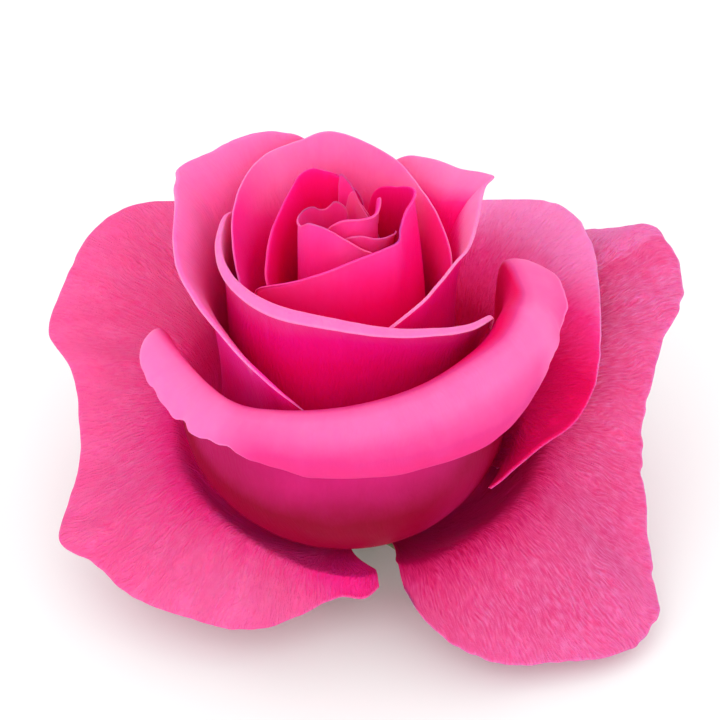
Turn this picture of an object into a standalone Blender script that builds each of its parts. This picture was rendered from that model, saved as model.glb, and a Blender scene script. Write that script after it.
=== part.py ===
"""Cut bloom of a pink hybrid-tea rose, standing on its sepals and its cut stem.

The shape is worked out in millimetres in the bloom's own frame: the axis of the
flower is Z, heights count from the place where the petals join, and azimuths are
degrees anticlockwise from +X seen from above. Every petal is one thin sheet that
starts at a narrow claw on the receptacle, swells into a belly, rises to a crest
and ends in a rolled lip. The petals are listed from the innermost to the outermost,
and each one lies outside those before it.
"""
import math

import bpy
import numpy as np

# ---- driving dimensions, millimetres and degrees ----
MM = 0.001
FLOOR = -12.0                 # height of the surface that the bloom stands on
PETAL_THICKNESS = 0.5
CUP_LEAN = -0.05              # sideways lean of the cup per millimetre of height
CLAW_WIDTH = 3.0
CLAW_SHARE = 0.3              # and no claw is wider than this share of its petal
CLAW_RADIUS = (2.4, 6.8)      # innermost and outermost petal
CLAW_HEIGHT = (2.8, -1.6)
CLAW_START = (62.0, 4.0)      # slope of the sheet where it leaves the receptacle
SPREAD_END = (0.72, 0.45)     # part of the way up at which a cup petal has its full width
BELLY_HEIGHT = 22.0
CUP_RUN, CUP_RISE = 0.55, 0.50        # handles of the curve from claw to belly
GUARD_RUN, GUARD_RISE = 0.75, 0.38
WAIST = 0.97                  # least share of the belly's radius above it

# ---- cup petals ----
# name, claw azimuth, belly radii at even steps along the petal, columns,
# then stations (azimuth, crest radius, crest height, flare, lip out, lip down)
CUP_PETALS = (
    ("petal_core_1", 90, (3.1, 3.1), 8, (
        (10, 2.3, 48, 5, 0.3, 0.1), (35, 2.0, 54, 5, 0.3, 0.1), (95, 1.9, 56, 5, 0.3, 0.1),
        (160, 2.0, 55, 5, 0.3, 0.1), (200, 2.1, 49, 5, 0.3, 0.1))),
    ("petal_core_2", 235, (3.9, 3.9), 8, (
        (150, 2.9, 50, 5, 0.3, 0.1), (175, 2.7, 56, 5, 0.3, 0.1), (235, 2.6, 57.5, 5, 0.3, 0.1),
        (300, 2.7, 56.5, 5, 0.3, 0.1), (330, 2.9, 50, 5, 0.3, 0.1))),
    ("petal_core_3", 35, (4.6, 4.6), 9, (
        (252, 3.9, 50, 5, 0.3, 0.1), (275, 3.8, 56, 5, 0.3, 0.1), (340, 3.8, 58, 5, 0.3, 0.1),
        (400, 3.7, 57.5, 5, 0.3, 0.1), (432, 3.7, 54, 5, 0.3, 0.1), (445, 3.8, 48, 5, 0.3, 0.1))),
    ("petal_heart_top", 265, (5.6, 5.6), 9, (
        (238, 4.9, 56, 10, 0.5, 0.1), (254, 5.0, 61.3, 15, 0.6, 0.2), (281, 5.4, 63, 15, 0.6, 0.2),
        (305, 5.9, 63, 15, 0.6, 0.2), (330, 5.9, 62.3, 20, 0.7, 0.2), (358, 5.8, 62, 25, 0.9, 0.1),
        (371, 6.0, 62.2, 30, 0.9, 0.0), (380, 6.0, 57, 15, 0.5, 0.1))),
    ("petal_heart_right", 25, (6.4, 6.4), 8, (
        (272, 6.3, 55, 10, 0.5, 0.1), (281, 6.9, 60.8, 15, 0.6, 0.2), (295, 7.8, 61.4, 20, 0.6, 0.2),
        (310, 8.8, 60.6, 20, 0.6, 0.2), (335, 9.2, 59.4, 20, 0.6, 0.2), (352, 8.6, 58, 20, 0.6, 0.2),
        (362, 8.0, 53, 10, 0.5, 0.1))),
    ("petal_heart_front", 190, (6.8, 8.2, 8.7, 8.6), 16, (
        (78, 4.4, 54, 5, 0.3, 0.1), (84, 4.2, 59, 10, 0.3, 0.1), (101, 4.1, 59.7, 20, 0.4, 0.1),
        (111, 4.2, 58.9, 25, 0.5, 0.2), (121, 4.4, 58.4, 30, 0.5, 0.2), (132, 4.6, 58.6, 30, 0.5, 0.2),
        (143, 4.8, 59.5, 30, 0.6, 0.3), (160, 5.4, 59.9, 25, 0.6, 0.3), (182, 6.2, 59.9, 20, 0.6, 0.2),
        (205, 6.3, 60.4, 20, 0.8, 0.2), (232, 6.6, 62.6, 15, 0.7, 0.2), (256, 7.4, 63, 15, 0.7, 0.2),
        (277, 8.5, 61.6, 20, 0.7, 0.2), (290, 9.5, 60.2, 25, 0.7, 0.2), (300, 10.3, 59.2, 25, 0.7, 0.2),
        (308, 10.2, 54, 15, 0.5, 0.2))),
    ("petal_fold_small", 40, (7.8, 7.8), 8, (
        (26, 6.6, 51, 8, 0.3, 0.1), (42, 6.6, 54.6, 8, 0.4, 0.1), (58, 6.5, 57, 8, 0.4, 0.1),
        (66, 6.4, 58.8, 8, 0.4, 0.1), (71, 6.3, 60.3, 8, 0.4, 0.1), (74, 6.2, 60, 8, 0.4, 0.1),
        (80, 5.9, 57.8, 8, 0.4, 0.1), (87, 5.6, 55.8, 8, 0.3, 0.1), (92, 5.5, 52, 8, 0.3, 0.1))),
    ("petal_fold_large", 125, (8.6, 8.6), 9, (
        (36, 7.6, 51, 8, 0.3, 0.1), (50, 7.7, 54.4, 8, 0.3, 0.1), (60, 7.7, 56.2, 8, 0.3, 0.1),
        (68, 7.9, 57.4, 8, 0.3, 0.1), (76, 8.4, 59.6, 10, 0.4, 0.1), (83, 8.8, 61.0, 12, 0.5, 0.1),
        (88.5, 9.0, 61.7, 12, 0.5, 0.1), (90.5, 8.9, 60.4, 12, 0.5, 0.1), (92, 8.8, 57, 10, 0.4, 0.1),
        (95, 8.6, 51, 8, 0.4, 0.1))),
    ("petal_swirl_left", 172, (9.8, 10.0), 16, (
        (63, 9.2, 50, 8, 0.4, 0.1), (66, 9.1, 54.4, 10, 0.4, 0.1), (68.5, 9.1, 57.2, 12, 0.4, 0.1),
        (73, 9.3, 58.4, 15, 0.5, 0.2), (81, 9.8, 59.3, 15, 0.6, 0.2), (89, 10.6, 60, 18, 0.7, 0.2),
        (101, 11.2, 60.7, 20, 0.8, 0.2), (112, 11.4, 61.5, 20, 0.8, 0.2), (122, 11.3, 61.1, 20, 0.8, 0.2),
        (135, 10.7, 59.4, 20, 0.8, 0.2), (152, 10.3, 57.8, 15, 0.7, 0.2), (172, 10.7, 55.8, 15, 0.7, 0.2),
        (192, 11.8, 53, 18, 0.7, 0.2), (207, 13.0, 51, 15, 0.7, 0.2), (216, 12.0, 44, 10, 0.5, 0.2))),
    ("petal_swirl_right", 290, (11.2, 11.4, 12.8, 13.2, 12.6), 16, (
        (204, 14.6, 46, 15, 0.5, 0.2), (212, 15.6, 51.5, 20, 0.7, 0.2), (223, 15.3, 54, 20, 0.8, 0.2),
        (244, 14.5, 57, 20, 0.8, 0.2), (264, 13.6, 59.2, 20, 0.8, 0.2), (285, 13.0, 61, 20, 0.8, 0.2),
        (305, 12.7, 61.6, 10, 0.8, 0.2), (318, 12.2, 61.2, 2, 0.8, 0.2), (329, 10.9, 61.4, -8, 0.7, 0.2),
        (346, 10.6, 62.6, -10, 0.6, 0.2), (362, 11.5, 63.0, -6, 0.7, 0.2), (374, 12.0, 62.6, 2, 0.8, 0.2),
        (400, 12.0, 60, 10, 0.8, 0.2), (422, 12.4, 57.3, 15, 0.7, 0.2), (433, 12.6, 51, 10, 0.5, 0.2))),
    ("petal_cup_back", 75, (15.4, 15.0, 14.4, 14.2), 16, (
        (-13, 16.5, 43, 15, 0.7, 0.2), (0, 17.0, 50.6, 20, 0.8, 0.2), (22, 16.4, 54.8, 20, 0.9, 0.2),
        (46, 16.8, 58.2, 25, 0.9, 0.2), (60, 17.5, 60.2, 25, 0.9, 0.2), (73, 17.6, 61.7, 25, 0.9, 0.2),
        (95, 18.5, 63.2, 25, 1.0, 0.2), (109, 19.5, 61.4, 25, 1.0, 0.2), (124, 19.6, 60.9, 25, 1.0, 0.2),
        (150, 17.8, 60, 20, 0.8, 0.2), (180, 16.8, 56.6, 18, 0.8, 0.2),
        (204, 17.4, 53.4, 14, 0.8, 0.2), (219, 18.2, 49.5, 14, 0.8, 0.2), (228, 17.9, 43, 12, 0.7, 0.2))),
    ("petal_mid_front", 245, (15.8, 15.8), 7, (
        (222, 18.0, 36, 10, 0.6, 0.2), (232, 18.8, 45, 12, 0.7, 0.2), (244, 19.2, 48, 12, 0.8, 0.2),
        (258, 19.0, 48.5, 12, 0.8, 0.2), (270, 18.0, 46, 12, 0.7, 0.2), (280, 16.8, 36, 10, 0.6, 0.2))),
    ("petal_cup_right", 0, (17.6, 17.6), 22, (
        (276, 19.0, 42, 10, 0.6, 0.2), (284, 20.0, 49.6, 15, 0.8, 0.2), (293, 20.6, 52.8, 15, 0.9, 0.2),
        (305, 20.2, 54.6, 15, 0.9, 0.2), (322, 18.8, 55, 15, 0.9, 0.2), (342, 18.6, 54.9, 20, 0.9, 0.2),
        (356, 19.6, 54.5, 30, 1.0, 0.2), (369, 21.2, 55, 40, 1.0, 0.2), (380, 23.2, 55.7, 50, 1.2, 0.3),
        (386, 24.8, 56.3, 55, 1.2, 0.3), (389, 26.2, 56.8, 60, 1.2, 0.3), (391, 28.4, 57.3, 65, 1.2, 0.2),
        (393.8, 27.7, 57.4, 65, 1.2, 0.3), (400, 25.2, 57.6, 55, 1.2, 0.3), (413, 23.6, 57.8, 45, 1.2, 0.3),
        (422, 22.8, 57.3, 40, 1.2, 0.3), (432, 22.8, 54.0, 35, 1.0, 0.3), (441, 23.0, 46, 25, 0.8, 0.3))),
    ("petal_cup_front", 225, (19.2, 20.8), 18, (
        (140, 19.2, 46, 10, 0.6, 0.2), (149, 19.2, 53.5, 15, 0.7, 0.3), (163, 19.0, 56.0, 20, 0.9, 0.3),
        (179, 19.2, 56.0, 25, 0.9, 0.4), (192, 19.5, 55.9, 30, 1.0, 0.6), (206, 20.1, 56.3, 30, 1.1, 0.9),
        (226, 21.5, 56.8, 30, 1.1, 1.3), (243, 22.8, 57.4, 30, 1.4, 1.4), (263, 23.8, 57.5, 25, 1.5, 1.1),
        (285, 24.4, 55.3, 25, 1.5, 0.8), (301, 25.4, 53.6, 25, 1.3, 0.7), (318, 26.6, 51.4, 30, 1.1, 0.6),
        (330, 27.0, 50.0, 35, 0.8, 0.4), (335, 25.6, 45.5, 30, 0.5, 0.3))),
    ("petal_low_front", 310, (22.0, 21.6), 8, (
        (266, 23.2, 28, 10, 0.5, 0.2), (273, 23.5, 34, 10, 0.6, 0.2), (290, 24.0, 37.5, 12, 0.7, 0.2),
        (310, 24.2, 38.5, 12, 0.7, 0.2), (328, 24.0, 38, 12, 0.7, 0.2), (340, 23.6, 34, 10, 0.6, 0.2),
        (347, 23.2, 28, 10, 0.5, 0.2))),
    ("petal_cup_left", 150, (21.3, 21.3), 21, (
        (97, 22.4, 50, 20, 0.8, 0.3), (104, 22.5, 59.4, 30, 1.1, 0.3), (117, 24.8, 60.8, 40, 1.4, 0.4),
        (132, 26.6, 59.9, 45, 1.5, 0.5), (143, 28.1, 59.2, 50, 1.5, 0.5), (147.5, 29.4, 58.8, 50, 1.3, 0.4),
        (150.5, 30.0, 58.4, 50, 1.2, 0.4), (153, 29.2, 58.1, 50, 1.2, 0.4), (157, 28.3, 57.9, 45, 1.3, 0.4),
        (166, 26.4, 57.6, 45, 1.4, 0.5), (180, 25.8, 55.4, 45, 1.4, 0.6), (195, 25.4, 53.8, 40, 1.4, 0.6),
        (210, 25.0, 52, 40, 1.4, 0.6), (225, 25.4, 50, 35, 1.2, 0.5),
        (238, 26.2, 47.2, 30, 1.0, 0.4), (248, 26.8, 44.4, 25, 0.8, 0.3), (256, 26.0, 40.4, 20, 0.6, 0.2),
        (261, 24.6, 34, 15, 0.5, 0.2))),
    ("petal_mid_back_left", 110, (23.2, 23.2), 9, (
        (66, 23.7, 30, 15, 0.6, 0.2), (74, 24.4, 38, 20, 0.8, 0.2), (86, 26.2, 44.4, 30, 1.0, 0.3),
        (102, 28.0, 48.4, 40, 1.2, 0.4), (118, 28.6, 48, 40, 1.2, 0.4), (134, 27.8, 44.4, 35, 1.0, 0.3),
        (145, 26.4, 38, 25, 0.8, 0.2), (152, 25.0, 29, 15, 0.6, 0.2))),
    ("petal_mid_back_right", 60, (24.4, 24.4), 9, (
        (50, 26.0, 29, 15, 0.6, 0.2), (56, 27.8, 37, 25, 0.8, 0.2), (63, 30.0, 43, 40, 1.0, 0.3),
        (74, 31.4, 46.4, 45, 1.2, 0.4), (90, 31.2, 45.6, 50, 1.2, 0.4), (104, 30.2, 41, 40, 1.0, 0.3),
        (114, 28.4, 34, 25, 0.8, 0.2), (120, 26.8, 27, 15, 0.6, 0.2))),
    ("petal_front_rolled", 280, (28.4, 29.0, 27.4, 25.6, 26.2), 22, (
        (184, 29.0, 34, 40, 0.8, 1.0), (190, 31.0, 41, 75, 1.0, 1.8), (198, 31.4, 43.4, 90, 3.6, 4.4),
        (208, 29.8, 41.5, 90, 5.4, 4.8), (222, 29.2, 40.2, 90, 5.6, 5.2), (236, 30.0, 40.8, 90, 4.4, 5.4),
        (250, 30.0, 42.2, 90, 4.2, 8.0), (264, 30.0, 43.6, 90, 4.2, 10.0), (279, 30.0, 45, 90, 4.2, 11.5),
        (294, 30.2, 46.5, 90, 4.3, 12.5), (310, 31.0, 48.6, 90, 4.8, 13.0), (322, 32.2, 50.4, 90, 3.8, 12.6),
        (333, 31.6, 51.5, 90, 4.4, 10.0), (342, 30.3, 50.9, 90, 6.0, 6.0), (351, 28.6, 50.3, 88, 7.8, 2.4),
        (360, 27.4, 49.6, 80, 7.0, 1.4), (367, 26.8, 48.4, 65, 4.4, 1.0), (373, 26.6, 46, 50, 1.6, 0.6),
        (378, 26.6, 40, 30, 0.8, 0.4))),
)

# ---- guard petals, which fold outwards over a shoulder ----
# name, claw azimuth, part of the way up at full width, columns,
# then stations (azimuth, shoulder radius, shoulder height, slope there,
#                crest radius, crest height, flare, lip out, lip down)
GUARD_PETALS = (
    ("petal_guard_right_upper", 35, 0.9, 14, (
        (328, 25.2, 13.6, 20, 25.6, 14.2, 30, 0.4, 0.2), (337, 26.2, 14.8, 20, 28.0, 16.6, 40, 0.6, 0.2),
        (343, 26.8, 16.2, 20, 30.6, 19.0, 55, 0.9, 0.3), (350, 27.4, 17.8, 20, 34.4, 21.0, 70, 1.0, 0.4),
        (362, 28.6, 19, 18, 38.6, 24.4, 80, 1.2, 0.5), (373, 29.2, 21, 16, 41.0, 29.4, 80, 1.2, 0.5),
        (384, 29.2, 22.5, 15, 43.8, 34.0, 80, 1.2, 0.5), (393, 28.8, 23.5, 15, 46.8, 36.2, 80, 1.2, 0.5),
        (399, 28.8, 23.8, 15, 48.4, 37.0, 80, 1.2, 0.5), (406, 29.0, 24, 15, 49.8, 36.6, 80, 1.2, 0.5),
        (418, 29.0, 24, 15, 49.0, 33.6, 80, 1.2, 0.5), (432, 29.0, 24, 15, 46.4, 30, 80, 1.2, 0.5),
        (442, 29.0, 23, 15, 42.0, 28, 75, 1.0, 0.4), (448, 29.0, 22, 15, 36.0, 25, 60, 0.8, 0.3))),
    ("petal_guard_left", 255, 0.45, 24, (
        (114, 29.4, 23, 15, 37.0, 27, 55, 0.8, 0.3), (120, 29.4, 23, 15, 43.6, 32.8, 65, 1.0, 0.4),
        (130, 29.4, 23, 18, 49.2, 36.2, 75, 1.2, 0.5), (139, 29.4, 23, 18, 52.6, 36.8, 80, 1.4, 0.6),
        (147, 29.4, 22.5, 20, 54.4, 34.8, 90, 1.4, 0.6), (153, 29.4, 22, 22, 54.6, 31.2, 95, 1.4, 0.6),
        (158, 29.6, 21.5, 24, 54.8, 27.6, 98, 1.3, 0.6), (162, 29.8, 20.8, 26, 55.0, 24.0, 102, 1.2, 0.6),
        (166, 30.0, 20, 28, 49.8, 19.4, 105, 1.2, 0.6), (174, 30.2, 18.2, 30, 46.8, 13.6, 105, 1.2, 0.6),
        (182, 30.2, 16.5, 32, 46.4, 9.6, 105, 1.2, 0.6), (190, 30.0, 15, 34, 48.6, 6.6, 105, 1.2, 0.6),
        (197, 29.6, 13.8, 35, 51.4, 4.2, 105, 1.0, 0.6), (203, 29.2, 12.8, 36, 47.2, 2.8, 110, 1.0, 0.8),
        (211, 28.6, 11.6, 36, 44.8, 1.2, 118, 1.0, 1.0), (225, 27.4, 9.6, 38, 39.2, -0.6, 125, 0.8, 1.0),
        (240, 26.0, 7.4, 42, 34.8, -1.0, 125, 0.8, 1.0), (251, 25.0, 5.4, 50, 29.2, -0.4, 120, 0.6, 0.8),
        (264, 24.0, 3.8, 60, 25.2, 1.0, 112, 0.5, 0.6), (273, 23.4, 3.2, 66, 26.2, 1.4, 105, 0.4, 0.3),
        (278, 22.6, 3.0, 70, 24.8, 2.4, 100, 0.4, 0.2))),
    ("petal_guard_right", 303, 0.45, 29, (
        (288, 21.4, 3.4, 75, 24.2, 1.2, 105, 0.5, 0.6), (291, 22.6, 4.2, 70, 29.6, -1.2, 110, 0.8, 0.8),
        (297, 24.0, 5.4, 62, 36.0, -2.8, 118, 0.9, 1.0), (304, 25.6, 7.2, 54, 41.6, -4.4, 122, 0.9, 1.0),
        (312, 26.6, 8.8, 48, 44.8, -5.6, 125, 1.0, 1.0), (321, 27.6, 10.0, 44, 49.6, -6.6, 125, 1.0, 1.0),
        (329, 28.4, 10.9, 40, 53.4, -6.8, 125, 1.0, 1.0), (336, 29.0, 11.7, 38, 54.6, -5.6, 120, 1.0, 0.8),
        (342, 29.6, 12.4, 36, 51.2, -2.8, 115, 1.2, 0.8), (351, 30.2, 13.4, 35, 48.8, 3.4, 108, 1.2, 0.8),
        (360, 30.6, 14.6, 32, 47.2, 11, 105, 1.2, 0.7), (368, 30.8, 15.8, 30, 49.2, 18.2, 100, 1.2, 0.7),
        (375, 31.0, 16.8, 30, 53.0, 24.8, 95, 1.2, 0.6), (378, 31.0, 17.1, 30, 56.4, 27.6, 93, 1.2, 0.6),
        (382, 31.0, 17.4, 30, 59.0, 29.2, 92, 1.2, 0.6), (387.5, 31.0, 17.8, 30, 61.2, 31.2, 90, 1.2, 0.5),
        (391, 31.0, 17.9, 30, 61.1, 32.2, 88, 1.2, 0.5), (393.8, 31.0, 18, 30, 60.8, 33.4, 86, 1.2, 0.5),
        (396.2, 31.0, 18.1, 30, 58.4, 32.7, 87, 1.2, 0.5), (400, 31.0, 18.2, 30, 56.0, 31.6, 88, 1.2, 0.5),
        (406, 31.0, 18.2, 30, 53.6, 28.9, 88, 1.2, 0.5), (413, 31.0, 18, 30, 48.0, 24.6, 80, 1.0, 0.4),
        (418, 31.0, 17.4, 30, 40.0, 21, 70, 0.8, 0.3))),
    ("petal_guard_back_right", 85, 0.5, 9, (
        (56, 31.0, 14, 20, 36.0, 15.5, 60, 0.8, 0.3), (63, 31.0, 15, 20, 42.0, 20, 75, 1.0, 0.4),
        (78, 31.0, 16.5, 20, 47.6, 25.5, 80, 1.2, 0.5), (94, 31.0, 17, 20, 48.6, 27, 80, 1.2, 0.5),
        (110, 31.0, 17, 20, 46.4, 25.5, 80, 1.2, 0.5), (122, 31.0, 16.5, 20, 41.0, 21.5, 75, 1.0, 0.4),
        (128, 31.0, 16, 20, 36.0, 18.5, 60, 0.8, 0.3))),
    ("petal_guard_back_left", 140, 0.5, 10, (
        (86, 32.2, 11, 25, 38.0, 12, 65, 0.8, 0.3), (93, 32.4, 12, 25, 44.0, 17, 80, 1.0, 0.4),
        (108, 32.6, 13, 25, 49.4, 21.5, 85, 1.2, 0.5), (125, 32.6, 13.5, 25, 50.8, 23.5, 85, 1.2, 0.5),
        (142, 32.6, 13, 25, 49.4, 20.5, 85, 1.2, 0.5), (155, 32.4, 12, 25, 45.0, 16, 85, 1.0, 0.4),
        (162, 32.2, 11, 25, 39.0, 12.5, 75, 0.8, 0.3))),
)

CORE_ROWS = (3, 3, 1)         # rows of faces below the belly, up to the crest and over the lip
CUP_ROWS = (4, 4, 1)
ROLLED_ROWS = (5, 5, 4)
GUARD_ROWS = (5, 6, 1)

# ---- receptacle, hip and cut stem, which lean towards +Y on the way down ----
RECEPTACLE_GAP = 0.5          # from a claw's middle to the cone that carries it
RECEPTACLE_TOP_RADIUS = 2.0
HIP_PROFILE = ((7.1, -3.0), (6.6, -4.2), (5.7, -5.6), (4.6, -7.2), (3.7, -8.5), (3.2, -9.4))
HIP_LEAN_FROM = -4.0
HIP_LEAN = -0.85              # sideways millimetres per millimetre of height
STEM_RADIUS = 2.5
STEM_TOP = -9.7
HIP_SEGMENTS = 20

# ---- sepals: azimuth, reach of the tip ----
SEPALS = ((30, 27.0), (100, 26.0), (166, 27.0), (222, 20.5), (326, 23.5))
SEPAL_WIDTH = 6.4
SEPAL_THICKNESS = 0.8
SEPAL_BASE = (7.6, -4.4)

# ---- stamens and styles inside the core ----
STAMEN_COUNT = 9
STAMEN_RADIUS = 1.45
STAMEN_HEIGHT = 6.5
STAMEN_RING = (1.1, 1.85, 0.6)        # inner and outer radius and height of their ring
INNER_GAP = 0.3               # from the receptacle's top to the ring and the styles
STYLE_RADIUS = 0.75
STYLE_HEIGHT = 5.0

PETAL_COLOUR = (0.90, 0.06, 0.25)
HEART_COLOUR = (0.87, 0.02, 0.17)
GUARD_COLOUR = (0.90, 0.12, 0.35)
GREEN = (0.10, 0.21, 0.05)
YELLOW = (0.75, 0.45, 0.08)


def clear_scene():
    for thing in list(bpy.data.objects):
        bpy.data.objects.remove(thing, do_unlink=True)


def finish(name, colour, roughness):
    """A plain Principled material in the part's own colour."""
    material = bpy.data.materials.new(name)
    material.use_nodes = True
    shader = material.node_tree.nodes["Principled BSDF"]
    shader.inputs["Base Color"].default_value = (*colour, 1.0)
    shader.inputs["Roughness"].default_value = roughness
    return material


def add_mesh(name, points, faces, material):
    """One named object from points in millimetres of the bloom's frame."""
    mesh = bpy.data.meshes.new(name)
    mesh.from_pydata([tuple(MM * float(c) for c in p) for p in points], [], faces)
    mesh.shade_smooth()
    mesh.set_sharp_from_angle(angle=math.radians(50))
    mesh.materials.append(material)
    thing = bpy.data.objects.new(name, mesh)
    bpy.context.scene.collection.objects.link(thing)
    return thing


def direction(angle):
    """Unit step in the (radius, height) plane, the angle taken from straight up."""
    a = math.radians(angle)
    return np.array([math.sin(a), math.cos(a)])


def bezier(a, b, c, d, steps):
    """Points after the first on a cubic curve in the (radius, height) plane."""
    t = (np.arange(steps) + 1.0)[:, None] / steps
    return (1 - t) ** 3 * a + 3 * t * (1 - t) ** 2 * b + 3 * t * t * (1 - t) * c + t ** 3 * d


def curve_between(start, start_angle, end, end_angle, reach, steps):
    chord = np.linalg.norm(end - start)
    return bezier(start, start + reach * chord * direction(start_angle),
                  end - reach * chord * direction(end_angle), end, steps)


def lip_curve(crest, angle, out, down, steps):
    """The margin rolls on from the crest along an arc."""
    end = crest + np.array([out, -down])
    chord_angle = math.degrees(math.atan2(out, -down))
    turn = min(max(2 * (chord_angle - angle), 5.0), 130.0)
    return curve_between(crest, angle, end, angle + turn, 0.36, steps)


def through_stations(rows, count):
    """Catmull-Rom spline through the stations, spaced by the length of the crest."""
    rows = np.array(rows, float)
    radius, height = rows[:, -5], rows[:, -4]
    along = np.radians(np.diff(rows[:, 0])) * (radius[1:] + radius[:-1]) / 2
    step = np.sqrt(along ** 2 + np.diff(height) ** 2 + np.diff(radius) ** 2)
    knots = np.concatenate([[0.0], np.cumsum(step)])
    slopes = np.gradient(rows, knots, axis=0)
    where = np.linspace(0, knots[-1], count)
    cell = np.clip(np.searchsorted(knots, where, side="right") - 1, 0, len(step) - 1)
    width = step[cell][:, None]
    t = (where - knots[cell])[:, None] / width
    return ((2 * t ** 3 - 3 * t ** 2 + 1) * rows[cell] + (t ** 3 - 2 * t ** 2 + t) * width * slopes[cell]
            + (3 * t ** 2 - 2 * t ** 3) * rows[cell + 1] + (t ** 3 - t ** 2) * width * slopes[cell + 1])


def meridian(claw, slope, station, rows):
    """The petal's line from claw to margin at one station, as (radius, height) points."""
    belly = station[1:3]
    crest = station[4:6]
    folded = station[3] > 0
    run = (GUARD_RUN if folded else CUP_RUN) * (belly[0] - claw[0])
    leave = claw + np.array([run, run * math.tan(math.radians(slope))])
    arrive = belly - (GUARD_RISE if folded else CUP_RISE) * (belly[1] - claw[1]) * direction(station[3])
    low = bezier(claw, leave, arrive, belly, rows[0])
    chord = np.linalg.norm(crest - belly)
    neck = 0.36 * chord
    if not folded and station[6] > 0:
        waist = crest[0] - WAIST * min(belly[0], crest[0])
        neck = min(neck, waist / math.sin(math.radians(station[6])))
    wall = bezier(belly, belly + (0.15 if folded else 0.36) * chord * direction(station[3]),
                  crest - neck * direction(station[6]), crest, rows[1])
    lip = lip_curve(crest, station[6], station[7], station[8], rows[2])
    return np.vstack([claw[None, :], low, wall, lip])


def petal_grid(claw_azimuth, order, full, stations, columns, rows, lean):
    """Points of the petal's middle surface, one list for each column."""
    claw = np.array([np.interp(order, (0, 1), CLAW_RADIUS), np.interp(order, (0, 1), CLAW_HEIGHT)])
    slope = np.interp(order, (0, 1), CLAW_START)
    below_lip = rows[0] + rows[1]
    part = np.minimum(np.arange(sum(rows) + 1) / below_lip, 1.0)
    grid = []
    across = through_stations(stations, columns + 1)
    narrow = min(CLAW_SHARE, CLAW_WIDTH / (claw[0] * math.radians(across[-1, 0] - across[0, 0])))
    spread = narrow + (1 - narrow) * np.sin(np.minimum(part / full, 1.0) * math.pi / 2) ** 1.3
    for station in across:
        line = meridian(claw, slope, station, rows)
        turn = np.radians(claw_azimuth + (station[0] - claw_azimuth) * spread)
        grid.append(np.stack([lean * line[:, 1] + line[:, 0] * np.cos(turn),
                              line[:, 0] * np.sin(turn), line[:, 1]], axis=1))
    return grid


def petal(name, claw_azimuth, order, full, stations, columns, rows, lean, material):
    """A sheet over the grid, thickened evenly on both sides."""
    middle = (stations[0][0] + stations[-1][0]) / 2
    claw_azimuth += 360 * round((middle - claw_azimuth) / 360)
    grid = petal_grid(claw_azimuth, order, full, stations, columns, rows, lean)
    count = len(grid[0])
    points = [p for line in grid for p in line]
    faces = [(c * count + r, (c + 1) * count + r, (c + 1) * count + r + 1, c * count + r + 1)
             for c in range(columns) for r in range(count - 1)]
    sheet = add_mesh(name, points, faces, material)
    body = sheet.modifiers.new("thickness", "SOLIDIFY")
    body.thickness = PETAL_THICKNESS * MM
    body.offset = 0.0
    return sheet


def petals(parent):
    total = len(CUP_PETALS) + len(GUARD_PETALS) - 1
    heart = finish("petal_heart", HEART_COLOUR, 0.55)
    cup = finish("petal_cup", PETAL_COLOUR, 0.5)
    guard = finish("petal_guard", GUARD_COLOUR, 0.55)
    for index, (name, claw_azimuth, belly, columns, crest) in enumerate(CUP_PETALS):
        steps = np.linspace(crest[0][0], crest[-1][0], len(belly))
        stations = [(az, np.interp(az, steps, belly), BELLY_HEIGHT, 0, r, z, flare, out, down)
                    for az, r, z, flare, out, down in crest]
        rows = CORE_ROWS if index < 3 else ROLLED_ROWS if name == "petal_front_rolled" else CUP_ROWS
        material = heart if index < 8 else cup
        order = index / total
        full = np.interp(order, (0, 1), SPREAD_END)
        sheet = petal(name, claw_azimuth, order, full, stations, columns, rows, CUP_LEAN, material)
        sheet.parent = parent
    for index, (name, claw_azimuth, full, columns, stations) in enumerate(GUARD_PETALS):
        order = (len(CUP_PETALS) + index) / total
        sheet = petal(name, claw_azimuth, order, full, stations, columns, GUARD_ROWS, 0.0, guard)
        sheet.parent = parent


def lean_back(height):
    return HIP_LEAN * min(0.0, height - HIP_LEAN_FROM)


def turned(name, profile, material, segments=HIP_SEGMENTS):
    """A closed turned solid whose rings follow the leaning axis, top of the profile first."""
    points, faces = [], []
    for radius, height in profile:
        for s in range(segments):
            a = 2 * math.pi * s / segments
            points.append((radius * math.cos(a), lean_back(height) + radius * math.sin(a), height))
    for ring in range(len(profile) - 1):
        for s in range(segments):
            t = (s + 1) % segments
            a, b = ring * segments, (ring + 1) * segments
            faces.append((a + s, b + s, b + t, a + t))
    last = (len(profile) - 1) * segments
    faces.append(tuple(range(segments)))
    faces.append(tuple(last + s for s in reversed(range(segments))))
    return add_mesh(name, points, faces, material)


def receptacle_height(radius):
    """Height of the cone that carries the claws."""
    fall = (CLAW_HEIGHT[1] - CLAW_HEIGHT[0]) / (CLAW_RADIUS[1] - CLAW_RADIUS[0])
    return CLAW_HEIGHT[0] + fall * (radius - CLAW_RADIUS[0]) - RECEPTACLE_GAP * math.hypot(1, fall)


def hip_and_stem(parent):
    green = finish("sepal_green", GREEN, 0.6)
    edge = CLAW_RADIUS[1] + 0.4
    radii = (RECEPTACLE_TOP_RADIUS, (RECEPTACLE_TOP_RADIUS + edge) / 2, edge)
    cone = [(r, receptacle_height(r)) for r in radii]
    turned("hip", cone + list(HIP_PROFILE), green).parent = parent
    stem = [(STEM_RADIUS, STEM_TOP), (STEM_RADIUS, (STEM_TOP + FLOOR) / 2), (STEM_RADIUS, FLOOR)]
    turned("stem_stub", stem, green).parent = parent


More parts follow.
